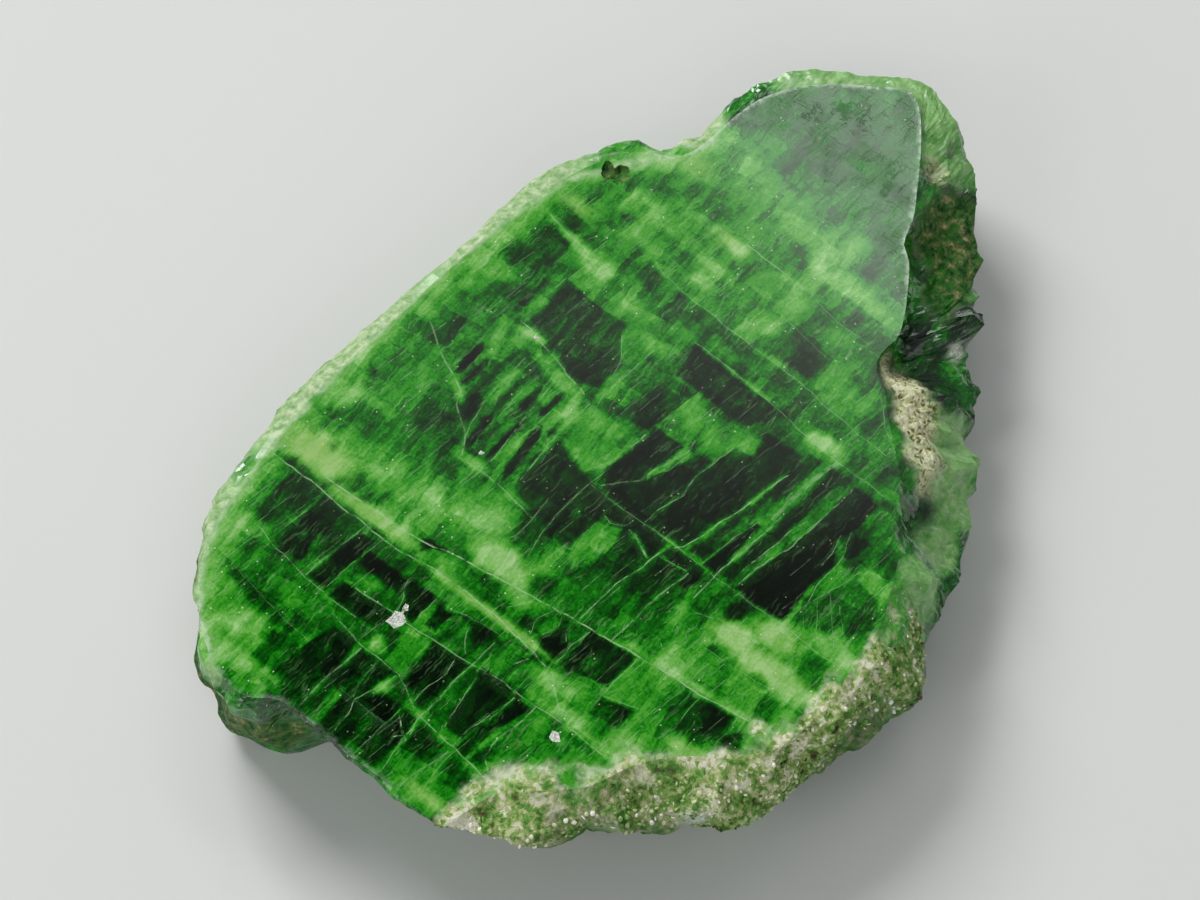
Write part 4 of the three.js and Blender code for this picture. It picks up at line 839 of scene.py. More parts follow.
    def grain_at(self, at: np.ndarray) -> np.ndarray:
        """Share of granular stone at each point near the lower right edge."""
        inside = depth_inside(at, np.array(self.granular))
        return smoothstep(0.72 + inside / self.granular_soft + 1.7 * (cloud_noise(at * 0.9, 21.0) - 0.5))

    def calm_at(self, at: np.ndarray) -> np.ndarray:
        """1 near the tip, where the crystal is even, down to 0."""
        reach = at[:, 1] + 0.25 * at[:, 0] + 2.0 * (cloud_noise(at * 0.5, 33.0) - 0.5)
        return smoothstep((reach - self.calm_from) / (self.calm_to - self.calm_from))

    def rim_at(self, at: np.ndarray) -> np.ndarray:
        """Share of pale rim at each point near the left edge."""
        away = distance_to_line(at, np.array(self.rim)) + 0.5 * (cloud_noise(at * 1.4, 25.0) - 0.5)
        return 0.55 * smoothstep((self.rim_reach - away) / self.rim_reach)

    def scuff_at(self, at: np.ndarray) -> np.ndarray:
        """Share of scratched polish at each point, soft at its edge."""
        depths = [depth_inside(at, np.array(outline)) for outline in self.scuffs]
        return smoothstep(0.5 + np.max(depths, axis=0) / 0.7)

    def patch_at(self, at: np.ndarray, outlines: tuple) -> np.ndarray:
        """1 at each point inside one of the outlines, else 0."""
        inside = [inside_outline(at, natural(outline, True, 0.2)) for outline in outlines]
        return np.any(inside, axis=0).astype(float)

    def drawn_lines(self) -> list[np.ndarray]:
        """Every sharp edge of the pattern."""
        closed = [outline for outline, _, soft, _ in self.blocks if soft < self.crisp_below / 2]
        closed += [strip for strip, _ in self.strips]
        closed += [natural(outline, True, 0.2) for outline in self.flecks]
        return [np.vstack([outline, outline[:1]]) for outline in closed] + self.lattice_lines()


@dataclass
class SliceMesh:
    """Triangles of the slice with the values that each corner of a triangle carries."""

    points: list = field(default_factory=list)
    triangles: list = field(default_factory=list)
    values: dict[str, list] = field(default_factory=lambda: {name: [] for name in CORNER_VALUES})

    def add_faces(self, triangles: np.ndarray, values: dict[str, np.ndarray]) -> None:
        """Adds triangles and their corner values; a name that is left out stays 0."""
        self.triangles.append(triangles)
        for name, kept in self.values.items():
            kept.append(values.get(name, np.zeros(triangles.size)))


@dataclass
class BrokenWall:
    """The wall of the slice, from the solid, with finer breaks."""

    cuts: int = 2
    fine_break: float = 0.07
    coarse_break: float = 0.16
    face_gap: float = 1e-3
    face_cosine: float = 0.999
    pit: Point = (-15.6, 12.0)
    pit_reach: float = 1.15
    pit_depth: float = 1.2
    face_blend: Point = (5.9, 7.3)
    rim_fade: Point = (3.6, 6.6)

    def build(self) -> tuple[np.ndarray, np.ndarray, list[np.ndarray]]:
        """Copies the solid's wall and breaks it up.

        Returns:
            Points in millimetres, wall triangles, and the loops of open edges as point numbers.
        """
        solid = bmesh.new()
        solid.from_mesh(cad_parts["crystal"].data)
        bmesh.ops.remove_doubles(solid, verts=solid.verts, dist=1e-7)
        flat = [f for f in solid.faces if abs(f.normal.z) > self.face_cosine and self.is_level(f)]
        bmesh.ops.delete(solid, geom=flat, context="FACES")
        bmesh.ops.subdivide_edges(solid, edges=solid.edges, cuts=self.cuts, use_grid_fill=True)
        bmesh.ops.triangulate(solid, faces=solid.faces)
        solid.normal_update()
        solid.verts.index_update()
        points = np.array([v.co for v in solid.verts]) / MM
        normals = np.array([v.normal for v in solid.verts])
        held = np.array([v.is_boundary for v in solid.verts])
        triangles = np.array([[v.index for v in f.verts] for f in solid.faces])
        loops = self.open_loops(solid)
        solid.free()
        points = points + normals * self.relief(points, held)[:, None]
        return self.ragged_pit(points), triangles, loops

    def is_level(self, face: bmesh.types.BMFace) -> bool:
        """True if a face lies in the polished top or the underside."""
        heights = [v.co.z / MM for v in face.verts]
        return max(heights) < self.face_gap or all(abs(z - FACE_HEIGHT) < self.face_gap for z in heights)

    def ragged_pit(self, points: np.ndarray) -> np.ndarray:
        """Makes the chipped pit's round edge ragged and its bowl shallow.

        Args:
            points: points of the wall and the pit, in millimetres.

        Returns:
            The moved points.
        """
        away = points[:, :2] + PLAN_ORIGIN - self.pit
        high = points[:, 2] > FACE_HEIGHT - self.pit_depth
        near = high & (np.linalg.norm(away, axis=1) < self.pit_reach)
        angle = np.arctan2(away[near, 1], away[near, 0])
        wave = lattice_noise(2.2 * np.column_stack([np.cos(angle), np.sin(angle)]), 71.0) - 0.5
        moved = points.copy()
        moved[near, :2] += away[near] * (0.8 * wave - 0.1)[:, None]
        moved[near, 2] += 0.4 * (FACE_HEIGHT - moved[near, 2])
        return moved

    def relief(self, points: np.ndarray, held: np.ndarray) -> np.ndarray:
        """How far each point of the wall moves out.

        Args:
            points: points of the wall, in millimetres.
            held: True for the points of the open edges, which stay.

        Returns:
            One distance for each point, in millimetres.
        """
        plan = points[:, :2] + PLAN_ORIGIN
        rough = 0.55 + 0.45 * smoothstep((plan[:, 0] + 6) / 8)
        coarse = cloud_noise(points * np.array([1.6, 1.6, 2.2]), 5.0) - 0.5
        fine = lattice_noise(points * 5.0, 9.0) - 0.5
        moved = rough * (self.coarse_break * 2 * coarse + self.fine_break * 2 * fine)
        pit = smoothstep(1.6 - np.linalg.norm(plan - self.pit, axis=1))
        moved = moved + pit * 0.5 * (cloud_noise(points * 2.6, 15.0) - 0.5)
        near_face = smoothstep((FACE_HEIGHT - points[:, 2]) / 0.5) * (1 - pit) + 0.8 * pit
        near_foot = smoothstep(points[:, 2] / 0.4)
        return np.where(held, 0, moved * near_face * near_foot)

    @staticmethod
    def open_loops(solid: bmesh.types.BMesh) -> list[np.ndarray]:
        """Loops of edges with one face.

        Args:
            solid: the open wall.

        Returns:
            Each loop's point numbers in order.
        """
        edges = {e for e in solid.edges if e.is_boundary}
        loops = []
        while edges:
            edge = edges.pop()
            first, vert = edge.verts
            loop = [first.index]
            while vert is not first:
                loop.append(vert.index)
                edge = next(e for e in vert.link_edges if e in edges)
                edges.discard(edge)
                vert = edge.other_vert(vert)
            loops.append(np.array(loop))
        return loops

    def values(self, at: np.ndarray, pattern: CrystalPattern) -> dict[str, np.ndarray]:
        """Stone of the wall at each point.

        Args:
            at: points of the part, in millimetres.
            pattern: pattern of the polished face, which goes on below its edge.

        Returns:
            Values for each point, by name.
        """
        plan = at[:, :2] + PLAN_ORIGIN
        place = np.column_stack([plan, at[:, 2]])
        place += 0.9 * jitter(at * 0.9, 31.0, 37.0, 41.0)
        shares = {stone: np.zeros(len(at)) for stone in Stone}
        for patch in WALL:
            away = np.linalg.norm(place - patch.centre, axis=1) / patch.reach
            share = patch.strength * smoothstep((1.15 - away) / 0.45)
            for stone in shares:
                shares[stone] *= 1 - share
            shares[patch.stone] += share
        near_face = smoothstep((at[:, 2] - self.face_blend[0]) / (self.face_blend[1] - self.face_blend[0]))
        own = 0.62 + 0.3 * (cloud_noise(at * 0.6, 12.0) - 0.5)
        upper = near_face > 0
        tone = own.copy()
        tone[upper] += (pattern.tone_at(plan[upper]) - own[upper]) * near_face[upper]
        ragged = at[:, 2] + 3.0 * (cloud_noise(at * np.array([0.7, 0.7, 0.3]), 27.0) - 0.5)
        low, high = self.rim_fade
        shares[Stone.RIM] *= 0.15 + 0.85 * smoothstep((ragged - low) / (high - low))
        tone += (0.3 - tone) * shares[Stone.RIM] + (0.33 - tone) * shares[Stone.MINT]
        tone += (0.8 - tone) * shares[Stone.GLASS] * (1 - 0.5 * near_face)
        return {
            "tone": np.clip(tone, 0, 1),
            "crust": shares[Stone.CRUST],
            "rim": 0.9 * shares[Stone.RIM] + 0.4 * shares[Stone.MINT],
            "olive": shares[Stone.OLIVE],
            "white": shares[Stone.WHITE],
            "grain": np.maximum(shares[Stone.GRAIN], pattern.grain_at(plan) * near_face),
        }


@dataclass
class PolishedFace:
    """The flat faces of the slice, filled so that the pattern's edges are edges of the mesh."""

    piece: float = 0.6
    clearance: float = 0.14
    shake: float = 0.4

    def fill(
        self, points: np.ndarray, loops: list[np.ndarray], lines: list[np.ndarray], step: float
    ) -> tuple[np.ndarray, np.ndarray, np.ndarray]:
        """Fills the flat space inside the longest loop and outside the others.

        Args:
            points: all points of the wall, in millimetres.
            loops: point numbers of the outer edge and of any hole.
            lines: lines that have to be edges of the fill, in plan millimetres.
            step: distance between the points that are added inside.

        Returns:
            The fill's points as rows of x and y, its triangles, and a number for each of its points:
            the wall's own number on an edge, and one past the wall's numbers elsewhere.
        """
        loops = sorted(loops, key=len, reverse=True)
        outlines = [points[loop, :2] + PLAN_ORIGIN for loop in loops]
        numbers = np.concatenate(loops)
        given, edges = [], []
        for outline in outlines:
            count = sum(map(len, given))
            given.append(outline)
            edges += [(count + k, count + (k + 1) % len(outline)) for k in range(len(outline))]
        for line in lines:
            for start, end in zip(line[:-1], line[1:]):
                count = sum(map(len, given))
                pieces = max(1, math.ceil(np.linalg.norm(end - start) / self.piece))
                given.append(start + (end - start) * np.linspace(0, 1, pieces + 1)[:, None])
                edges += [(count + k, count + k + 1) for k in range(pieces)]
        given.append(self.grid(outlines[0], step))
        given = np.vstack(given)
        room = self.room(given, outlines)
        keep = room > self.clearance
        keep[: len(numbers)] = True
        renumbered = np.cumsum(keep) - 1
        edges = [(int(renumbered[a]), int(renumbered[b])) for a, b in edges if keep[a] and keep[b]]
        found = delaunay_2d_cdt([Vector(p) for p in given[keep]], edges, [], 0, 1e-5)
        flat = np.array([tuple(p) for p in found[0]])
        triangles = np.array([f for f in found[2] if len(f) == 3])
        triangles = triangles[self.room(flat[triangles].mean(axis=1), outlines) > 0]
        matched = np.arange(len(flat)) + len(points)
        for new, sources in enumerate(found[3]):
            edge_points = [s for s in sources if s < len(numbers)]
            if edge_points:
                matched[new] = numbers[edge_points[0]]
        return flat, self.trimmed(triangles, matched, loops), matched

    @staticmethod
    def trimmed(triangles: np.ndarray, matched: np.ndarray, loops: list[np.ndarray]) -> np.ndarray:
        """Drops the slivers that fill a very slight hollow of the outline from outside.

        Args:
            triangles: triangles of the fill, in its own point numbers.
            matched: the wall's number of each point, for points that are on an outline.
            loops: point numbers of the outer edge and of any hole.

        Returns:
            The triangles whose open sides all belong to an outline.
        """
        base = int(matched.max()) + 1
        pairs = np.vstack([np.column_stack([loop, np.roll(loop, -1)]) for loop in loops])
        outline_keys = pairs.min(axis=1) * base + pairs.max(axis=1)
        on_outline = np.isin(matched, np.concatenate(loops))
        while True:
            sides = matched[triangles][:, [[0, 1], [1, 2], [2, 0]]]
            keys = sides.min(axis=2) * base + sides.max(axis=2)
            _, place, uses = np.unique(keys.ravel(), return_inverse=True, return_counts=True)
            lone = (uses[place.ravel()] == 1).reshape(keys.shape) & ~np.isin(keys, outline_keys)
            sliver = lone.any(axis=1) & on_outline[triangles].all(axis=1)
            if not sliver.any():
                return triangles
            triangles = triangles[~sliver]

    def grid(self, outline: np.ndarray, step: float) -> np.ndarray:
        """Points of a triangular grid, slightly shaken.

        Args:
            outline: outline whose box the grid covers.
            step: distance between its points.

        Returns:
            The points as rows of x and y.
        """
        low, high = outline.min(0), outline.max(0)
        rows = np.arange(low[1], high[1], step * math.sqrt(0.75))
        shift = np.arange(len(rows)) % 2 * step / 2
        columns = np.arange(low[0], high[0], step)
        grid = np.array([[x + s, y] for y, s in zip(rows, shift) for x in columns])
        return grid + jitter(grid * 7.1, 2.0, 5.0) * step * self.shake

    @staticmethod
    def room(at: np.ndarray, outlines: list[np.ndarray]) -> np.ndarray:
        """Room that each point has on the face.

        Args:
            at: points, in plan millimetres.
            outlines: outer edge of the face, then its holes.

        Returns:
            Distances to the nearest outline, below 0 outside the face or in a hole.
        """
        room = depth_inside(at, outlines[0])
        for hole in outlines[1:]:
            room = np.minimum(room, -depth_inside(at, hole))
        return room


@dataclass
class CrystalSlice:
    """The whole slice as one closed mesh."""

    name: str = "crystal_slice"
    nudge: float = 0.02
    face_step: float = 0.33
    base_step: float = 2.0
    base_crust: float = 0.3
    edge_highlight_width: float = 0.2
    wall: BrokenWall = field(default_factory=BrokenWall)
    face: PolishedFace = field(default_factory=PolishedFace)
    pattern: CrystalPattern = field(default_factory=CrystalPattern)

    def build(self, material: bpy.types.Material) -> bpy.types.Object:
        """Builds the slice.

        Args:
            material: finish of the slice.

        Returns:
            The slice's object.
        """
        points, triangles, loops = self.wall.build()
        made = SliceMesh(points=[points])
        made.add_faces(triangles, self.wall.values(points[triangles.ravel()], self.pattern))
        top = [loop for loop in loops if points[loop, 2].min() > FACE_HEIGHT / 2]
        base = [loop for loop in loops if points[loop, 2].max() < FACE_HEIGHT / 2]
        self.add_flat(made, points, top, self.pattern.drawn_lines(), self.face_step, FACE_HEIGHT)
        self.add_flat(made, points, base, [], self.base_step, 0.0)
        mesh = bpy.data.meshes.new(self.name)
        corners = np.vstack(made.triangles)
        mesh.from_pydata((np.vstack(made.points) * MM).tolist(), [], corners.tolist())
        for name, parts in made.values.items():
            attribute = mesh.attributes.new(name, "FLOAT", "CORNER")
            attribute.data.foreach_set("value", np.concatenate(parts).astype(np.float32))
        mesh.validate()
        slice_object = linked(self.name, mesh)
        self.clean(slice_object)
        mesh.materials.append(material)
        return slice_object

    def add_flat(
        self, made: SliceMesh, points: np.ndarray, loops: list, lines: list, step: float, height: float
    ) -> None:
        """Adds the polished face or the underside to the mesh.

        Args:
            made: the mesh so far, which is added to.
            points: the wall's points, in millimetres.
            loops: the wall's open edges at this height.
            lines: lines that have to be edges of the face.
            step: distance between the points inside.
            height: height of the face; 0 is the underside.
        """
        flat, triangles, matched = self.face.fill(points, loops, lines, step)
        offset = sum(map(len, made.points)) - len(points)
        matched = np.where(matched >= len(points), matched + offset, matched)
        if height == 0:
            triangles = triangles[:, ::-1]
        centres = flat[triangles].mean(axis=1)
        corners = flat[triangles] + (centres[:, None] - flat[triangles]) * self.nudge
        corners = corners.reshape(-1, 2)
        if height > 0:
            values = {
                "tone": self.pattern.tone_at(corners),
                "crack": self.pattern.crack_at(centres).repeat(3),
                "yellow": self.pattern.yellow_at(corners),
                "grain": self.pattern.grain_at(corners),
                "rim": self.pattern.rim_at(corners),
                "white": self.pattern.patch_at(centres, self.pattern.flecks).repeat(3),
                "calm": self.pattern.calm_at(corners),
                # edge: share of the painted highlight along the polished edge
                "edge": self.painted_edge_light(corners, points, loops),
                "scuff": self.pattern.scuff_at(corners),
            }
        else:
            crust = np.full(len(corners), self.base_crust)
            values = {"tone": 0.5 + 0.3 * cloud_noise(corners * 0.4, 4.0), "crust": crust}
        made.points.append(np.column_stack([flat - PLAN_ORIGIN, np.full(len(flat), height)]))
        made.add_faces(matched[triangles], values)

    def painted_edge_light(self, corners: np.ndarray, points: np.ndarray, loops: list) -> np.ndarray:
        """How strong the painted highlight along the polished edge is, most of all round the tip.

        Args:
            corners: places on the face, in plan millimetres.
            points: the wall's points, in millimetres.
            loops: the wall's open edges round the face.

        Returns:
            One share for each place.
        """
        outline = points[max(loops, key=len), :2] + PLAN_ORIGIN
        away = distance_to_line(corners, np.vstack([outline, outline[:1]]))
        tip = smoothstep((corners[:, 1] - 13) / 5)
        front = 0.5 * smoothstep((-21 - corners[:, 1]) / 3) * smoothstep((2 - corners[:, 0]) / 3)
        return smoothstep(1 - away / self.edge_highlight_width) * np.maximum(tip, front)

    @staticmethod
    def clean(slice_object: bpy.types.Object) -> None:
        """Removes points that no face uses and reports the mesh.

        Args:
            slice_object: the slice, whose mesh is changed.
        """
        shell = bmesh.new()
        shell.from_mesh(slice_object.data)
        bmesh.ops.delete(shell, geom=[v for v in shell.verts if not v.link_faces], context="VERTS")
        open_edges = sum(not e.is_manifold for e in shell.edges)
        volume = shell.calc_volume() * 1e6
        LOG.info("slice: %d triangles, %d open edges, %.2f cm3", len(shell.faces), open_edges, volume)
        shell.to_mesh(slice_object.data)
        shell.free()


class Wire:
    """One output socket of a shader tree, on which Python's operators add Math nodes."""

    def __init__(self, tree: "Shader", socket: bpy.types.NodeSocket) -> None:
        """Holds a socket and the tree that it is in."""
        self.tree = tree
        self.socket = socket

    def _math(self, operation: str, *values: "Wire | float") -> "Wire":
        """Adds a Math node."""
        return self.tree.add("ShaderNodeMath", {"operation": operation}, dict(enumerate(values)))

    def __add__(self, other: "Wire | float") -> "Wire":
        """Sum."""
        return self._math("ADD", self, other)

    def __radd__(self, other: float) -> "Wire":
        """Sum, reflected."""
        return self._math("ADD", other, self)

    def __sub__(self, other: "Wire | float") -> "Wire":
        """Difference."""
        return self._math("SUBTRACT", self, other)

    def __rsub__(self, other: float) -> "Wire":
        """Difference, reflected."""
        return self._math("SUBTRACT", other, self)

    def __mul__(self, other: "Wire | float") -> "Wire":
        """Product."""
        return self._math("MULTIPLY", self, other)

    def __rmul__(self, other: float) -> "Wire":
        """Product, reflected."""
        return self._math("MULTIPLY", other, self)

    def clamped(self) -> "Wire":
        """The value held between 0 and 1."""
        return self.tree.add("ShaderNodeClamp", {}, {"Value": self})

    def at_least(self, other: "Wire | float") -> "Wire":
        """The larger of two values."""
        return self._math("MAXIMUM", self, other)

    def eased(self, low: float, high: float, start: float = 0.0, end: float = 1.0) -> "Wire":
        """Maps low to start and high to end, with soft ends."""
        return self.tree.add(
            "ShaderNodeMapRange",
            {"interpolation_type": "SMOOTHSTEP"},
            {"Value": self, "From Min": low, "From Max": high, "To Min": start, "To Max": end},
        )


class Shader:
    """A material's node tree, built through one method for every kind of node."""

    def __init__(self, name: str) -> None:
        """Makes an empty material.

        Args:
            name: the material's name.
        """
        self.material = bpy.data.materials.new(name)
        self.material.use_nodes = True
        self.tree = self.material.node_tree
        self.tree.nodes.clear()

    @classmethod
    def of_tree(cls, tree: bpy.types.NodeTree) -> "Shader":
        """Takes over the tree of a world.

        Args:
            tree: the tree, which is emptied.

        Returns:
            A shader that builds in it.
        """
        shader = cls.__new__(cls)
        shader.tree = tree
        tree.nodes.clear()
        return shader

    def add(self, kind: str, settings: dict, inputs: dict, output: int | str = 0) -> Wire:
        """Adds a node.

        Args:
            kind: the node's type.
            settings: values that are set on the node before its sockets, or a ramp's stops.
            inputs: socket names or numbers, with a value or a wire for each.
            output: the output socket that is returned.

        Returns:
            The wire from that output.
        """
        node = self.tree.nodes.new(kind)
        for name, value in settings.items():
            if name == "stops":
                self.set_stops(node.color_ramp, value)
            else:
                setattr(node, name, value)
        for name, value in inputs.items():
            if isinstance(value, Wire):
                self.tree.links.new(value.socket, node.inputs[name])
            else:
                node.inputs[name].default_value = value
        return Wire(self, node.outputs[output]) if node.outputs else Wire(self, None)

    @staticmethod
    def set_stops(ramp: bpy.types.ColorRamp, stops: Stops) -> None:
        """Gives a colour ramp its stops, each a place and a colour."""
        while len(ramp.elements) > 1:
            ramp.elements.remove(ramp.elements[-1])
        for number, (place, colour) in enumerate(stops):
            element = ramp.elements[0] if number == 0 else ramp.elements.new(place)
            element.position = place
            element.color = (*colour, 1)

    def attribute(self, name: str) -> Wire:
        """A number that the mesh carries."""
        return self.add("ShaderNodeAttribute", {"attribute_name": name}, {}, "Fac")

    def dot(self, vector: Wire, axis: Place) -> Wire:
        """The share of a vector along an axis."""
        return self.add("ShaderNodeVectorMath", {"operation": "DOT_PRODUCT"}, {0: vector, 1: axis}, "Value")

    def object_place(self, scale: Place) -> Wire:
        """Object coordinates in millimetres, times a scale.

        Args:
            scale: factor for each axis.

        Returns:
            The scaled place.
        """
        place = self.add("ShaderNodeTexCoord", {}, {}, "Object")
        scaled = tuple(s / MM for s in scale)
        return self.add("ShaderNodeVectorMath", {"operation": "MULTIPLY"}, {0: place, 1: scaled})

    def height(self) -> Wire:
        """Height above the table, in millimetres."""
        return self.dot(self.object_place((1.0, 1.0, 1.0)), (0.0, 0.0, 1.0))

    def noise(
        self,
        scale: Place,
        detail: float = 3.0,
        roughness: float = 0.55,
        place: "Wire | None" = None,
    ) -> Wire:
        """Noise with one cell for each unit of millimetres times scale.

        Args:
            scale: cells to the millimetre along each axis.
            detail: how many finer scales are added.
            roughness: how strong each finer scale is.
            place: coordinates in millimetres; the object's own if left out.

        Returns:
            The noise, between 0 and 1.
        """
        if place is None:
            vector = self.object_place(scale)
        else:
            vector = self.add("ShaderNodeVectorMath", {"operation": "MULTIPLY"}, {0: place, 1: scale})
        inputs = {"Vector": vector, "Scale": 1.0, "Detail": detail, "Roughness": roughness}
        return self.add("ShaderNodeTexNoise", {}, inputs)

    def cells(self, scale: Place, output: str = "Color") -> Wire:
        """Voronoi cells, for grains."""
        inputs = {"Vector": self.object_place(scale), "Scale": 1.0}
        return self.add("ShaderNodeTexVoronoi", {}, inputs, output)

    def ramp(self, value: Wire, stops: Stops) -> Wire:
        """A colour for each value."""
        return self.add("ShaderNodeValToRGB", {"stops": stops}, {"Fac": value})

    def blend(
        self, share: "Wire | float", first: "Wire | Colour", second: "Wire | Colour", mode: str = "MIX"
    ) -> Wire:
        """Mixes two colours.

        Args:
            share: how much of the second colour is taken.
            first: the colour at share 0.
            second: the colour at share 1.
            mode: the way of mixing.

        Returns:
            The mixed colour.
        """
        node = self.tree.nodes.new("ShaderNodeMix")
        node.data_type = "RGBA"
        node.blend_type = mode
        for number, value in ((0, share), (6, first), (7, second)):
            if isinstance(value, Wire):
                self.tree.links.new(value.socket, node.inputs[number])
            else:
                node.inputs[number].default_value = (*value, 1) if isinstance(value, tuple) else value
        return Wire(self, node.outputs[2])

    def bump(self, height: Wire, strength: "Wire | float", distance: float) -> Wire:
        """A bump; distance is in millimetres."""
        inputs = {"Height": height, "Strength": strength, "Distance": distance * MM}
        return self.add("ShaderNodeBump", {}, inputs)


@dataclass(frozen=True)
class DiopsideFinish:
    """Clear green crystal with its milk, cracks, crust and grains, with painted glints and a painted
    highlight along the polished edge.
    """

    index: float = 1.68
    body: Colour = (0.86, 1.0, 0.88)
    absorbed: Colour = (0.06, 0.72, 0.06)
    density: float = 900.0
    greens: Stops = (
        (0.0, (0.40, 0.66, 0.27)),
        (0.2, (0.175, 0.48, 0.090)),
        (0.36, (0.060, 0.34, 0.022)),
        (0.48, (0.014, 0.26, 0.006)),
        (0.60, (0.002, 0.155, 0.002)),
        (0.72, (0.001, 0.075, 0.001)),
        (0.86, (0.002, 0.029, 0.002)),
        (1.0, (0.001, 0.009, 0.001)),
    )
    crusts: Stops = (
        (0.0, (0.06, 0.06, 0.02)),
        (0.16, (0.25, 0.19, 0.09)),
        (0.32, (0.52, 0.50, 0.27)),
        (0.6, (0.76, 0.79, 0.40)),
        (0.85, (0.92, 0.90, 0.64)),
    )
    grains: Stops = (
        (0.0, (0.035, 0.032, 0.010)),
        (0.18, (0.13, 0.11, 0.035)),
        (0.30, (0.06, 0.22, 0.02)),
        (0.46, (0.16, 0.36, 0.055)),
        (0.62, (0.34, 0.45, 0.14)),
        (0.76, (0.54, 0.59, 0.28)),
        (0.94, (0.84, 0.83, 0.62)),
    )
    rims: Stops = ((0.34, (0.10, 0.28, 0.06)), (0.5, (0.34, 0.50, 0.22)), (0.66, (0.66, 0.72, 0.48)))
    olives: Stops = (
        (0.38, (0.004, 0.02, 0.003)),
        (0.46, (0.02, 0.13, 0.01)),
        (0.54, (0.10, 0.17, 0.04)),
        (0.62, (0.30, 0.26, 0.11)),
        (0.72, (0.62, 0.58, 0.36)),
    )
    yellow_milk: Colour = (0.30, 0.50, 0.11)
    crack_pale: Colour = (0.36, 0.56, 0.29)
    fibre_pale: Colour = (0.20, 0.42, 0.15)
    painted_white_glint: Colour = (0.75, 0.78, 0.55)
    painted_gold_glint: Colour = (0.85, 0.62, 0.20)
    painted_edge_highlight: Colour = (0.55, 0.68, 0.52)
    grey_chalk: Colour = (0.50, 0.52, 0.42)
    white_chalk: Colour = (0.86, 0.86, 0.80)
    lean: float = -6.0
    stone_shine: float = 0.14

    def material(self) -> bpy.types.Material:
        """Builds the material."""
        s = Shader("polished_diopside")
        broad = s.noise((0.55, 0.5, 0.6), 4.0)
        medium = s.noise((1.8, 1.8, 1.8), 5.0, 0.7)
        specks = s.noise((7.0, 5.0, 7.0), 1.0)
        place = self.wandering_place(s)
        tone = self.tone(s, place, medium, specks)
        crack = s.attribute("crack") * medium.eased(0.38, 0.57)
        # Share of the painted highlight along the polished edge, broken up by noise
        edge = s.attribute("edge") * medium.eased(0.35, 0.6)
        grain = (s.attribute("grain") * broad.eased(0.32, 0.5, 0.7, 1.3)).clamped()
        olive = s.attribute("olive") * broad.eased(0.25, 0.6, 0.45, 1.0)
        colour = self.crystal_colour(s, place, tone, crack, broad)
        colour = self.stone_colour(s, colour, medium, specks, {"edge": edge, "grain": grain, "olive": olive})
        solid = s.attribute("crust").at_least(s.attribute("white")).at_least(s.attribute("olive") * 0.9)
        stony = solid.at_least(s.attribute("rim") * 0.6).at_least(s.attribute("grain"))
        opaque = tone.eased(0.35, 1.0, 1.0, 0.3)
        for covered in (grain, stony, edge, crack):
            opaque = opaque.at_least(covered)
        rough = self.roughness(s, place, medium, broad, stony)
        relief = s.bump(medium, stony.eased(0.3, 0.9) * 0.9, 0.4)
        clear = s.add("ShaderNodeBsdfPrincipled", {}, {
            "Base Color": (*self.body, 1), "Roughness": rough, "IOR": self.index,
            "Transmission Weight": 1.0, "Normal": relief,
        })
        milk = s.add("ShaderNodeBsdfPrincipled", {}, {
            "Base Color": colour, "Roughness": rough, "IOR": self.index, "Normal": relief,
        })
        stone = s.add("ShaderNodeBsdfPrincipled", {}, {
            "Base Color": colour, "Roughness": rough, "IOR": self.index,
            "Specular IOR Level": self.stone_shine, "Normal": relief,
        })
        polished = s.add("ShaderNodeMixShader", {}, {0: opaque, 1: clear, 2: milk})
        surface = s.add("ShaderNodeMixShader", {}, {0: stony.eased(0.25, 0.75), 1: polished, 2: stone})
        absorption = {"Color": (*self.absorbed, 1), "Density": self.density}
        inside = s.add("ShaderNodeVolumeAbsorption", {}, absorption)
        s.add("ShaderNodeOutputMaterial", {}, {"Surface": surface, "Volume": inside})
        return s.material

    def crystal_colour(self, s: Shader, place: Wire, tone: Wire, crack: Wire, broad: Wire) -> Wire:
        """Colour of the clear and milky crystal, with painted white and gold glints.

        Args:
            s: the shader that it is added to.
            place: coordinates in millimetres.
            tone: how deep the eye sees in.
            crack: share of a crack's pale edge.
            broad: noise of a large scale.

        Returns:
            The colour.
        """
        yellow, calm = s.attribute("yellow"), s.attribute("calm")
        colour = s.ramp(tone.clamped(), self.greens)
        colour = s.blend(yellow * (0.9 - tone).clamped(), colour, self.yellow_milk)
        colour = s.blend(crack * 0.82, colour, self.crack_pale)
        fibre = s.noise((8.0, 0.8, 2.0), 2.0, 0.5, place).eased(0.56, 0.66) * broad.eased(0.42, 0.56)
        colour = s.blend(fibre * (0.42 - calm * 0.3), colour, self.fibre_pale)
        # Painted glints: small white and gold spots that stand for sparkle in the crystal
        painted_glint = s.cells((1.9, 1.9, 1.9), "Distance").eased(0.11, 0.06) * broad.eased(0.47, 0.55)
        return s.blend(painted_glint, colour, s.blend(yellow, self.painted_white_glint, self.painted_gold_glint))

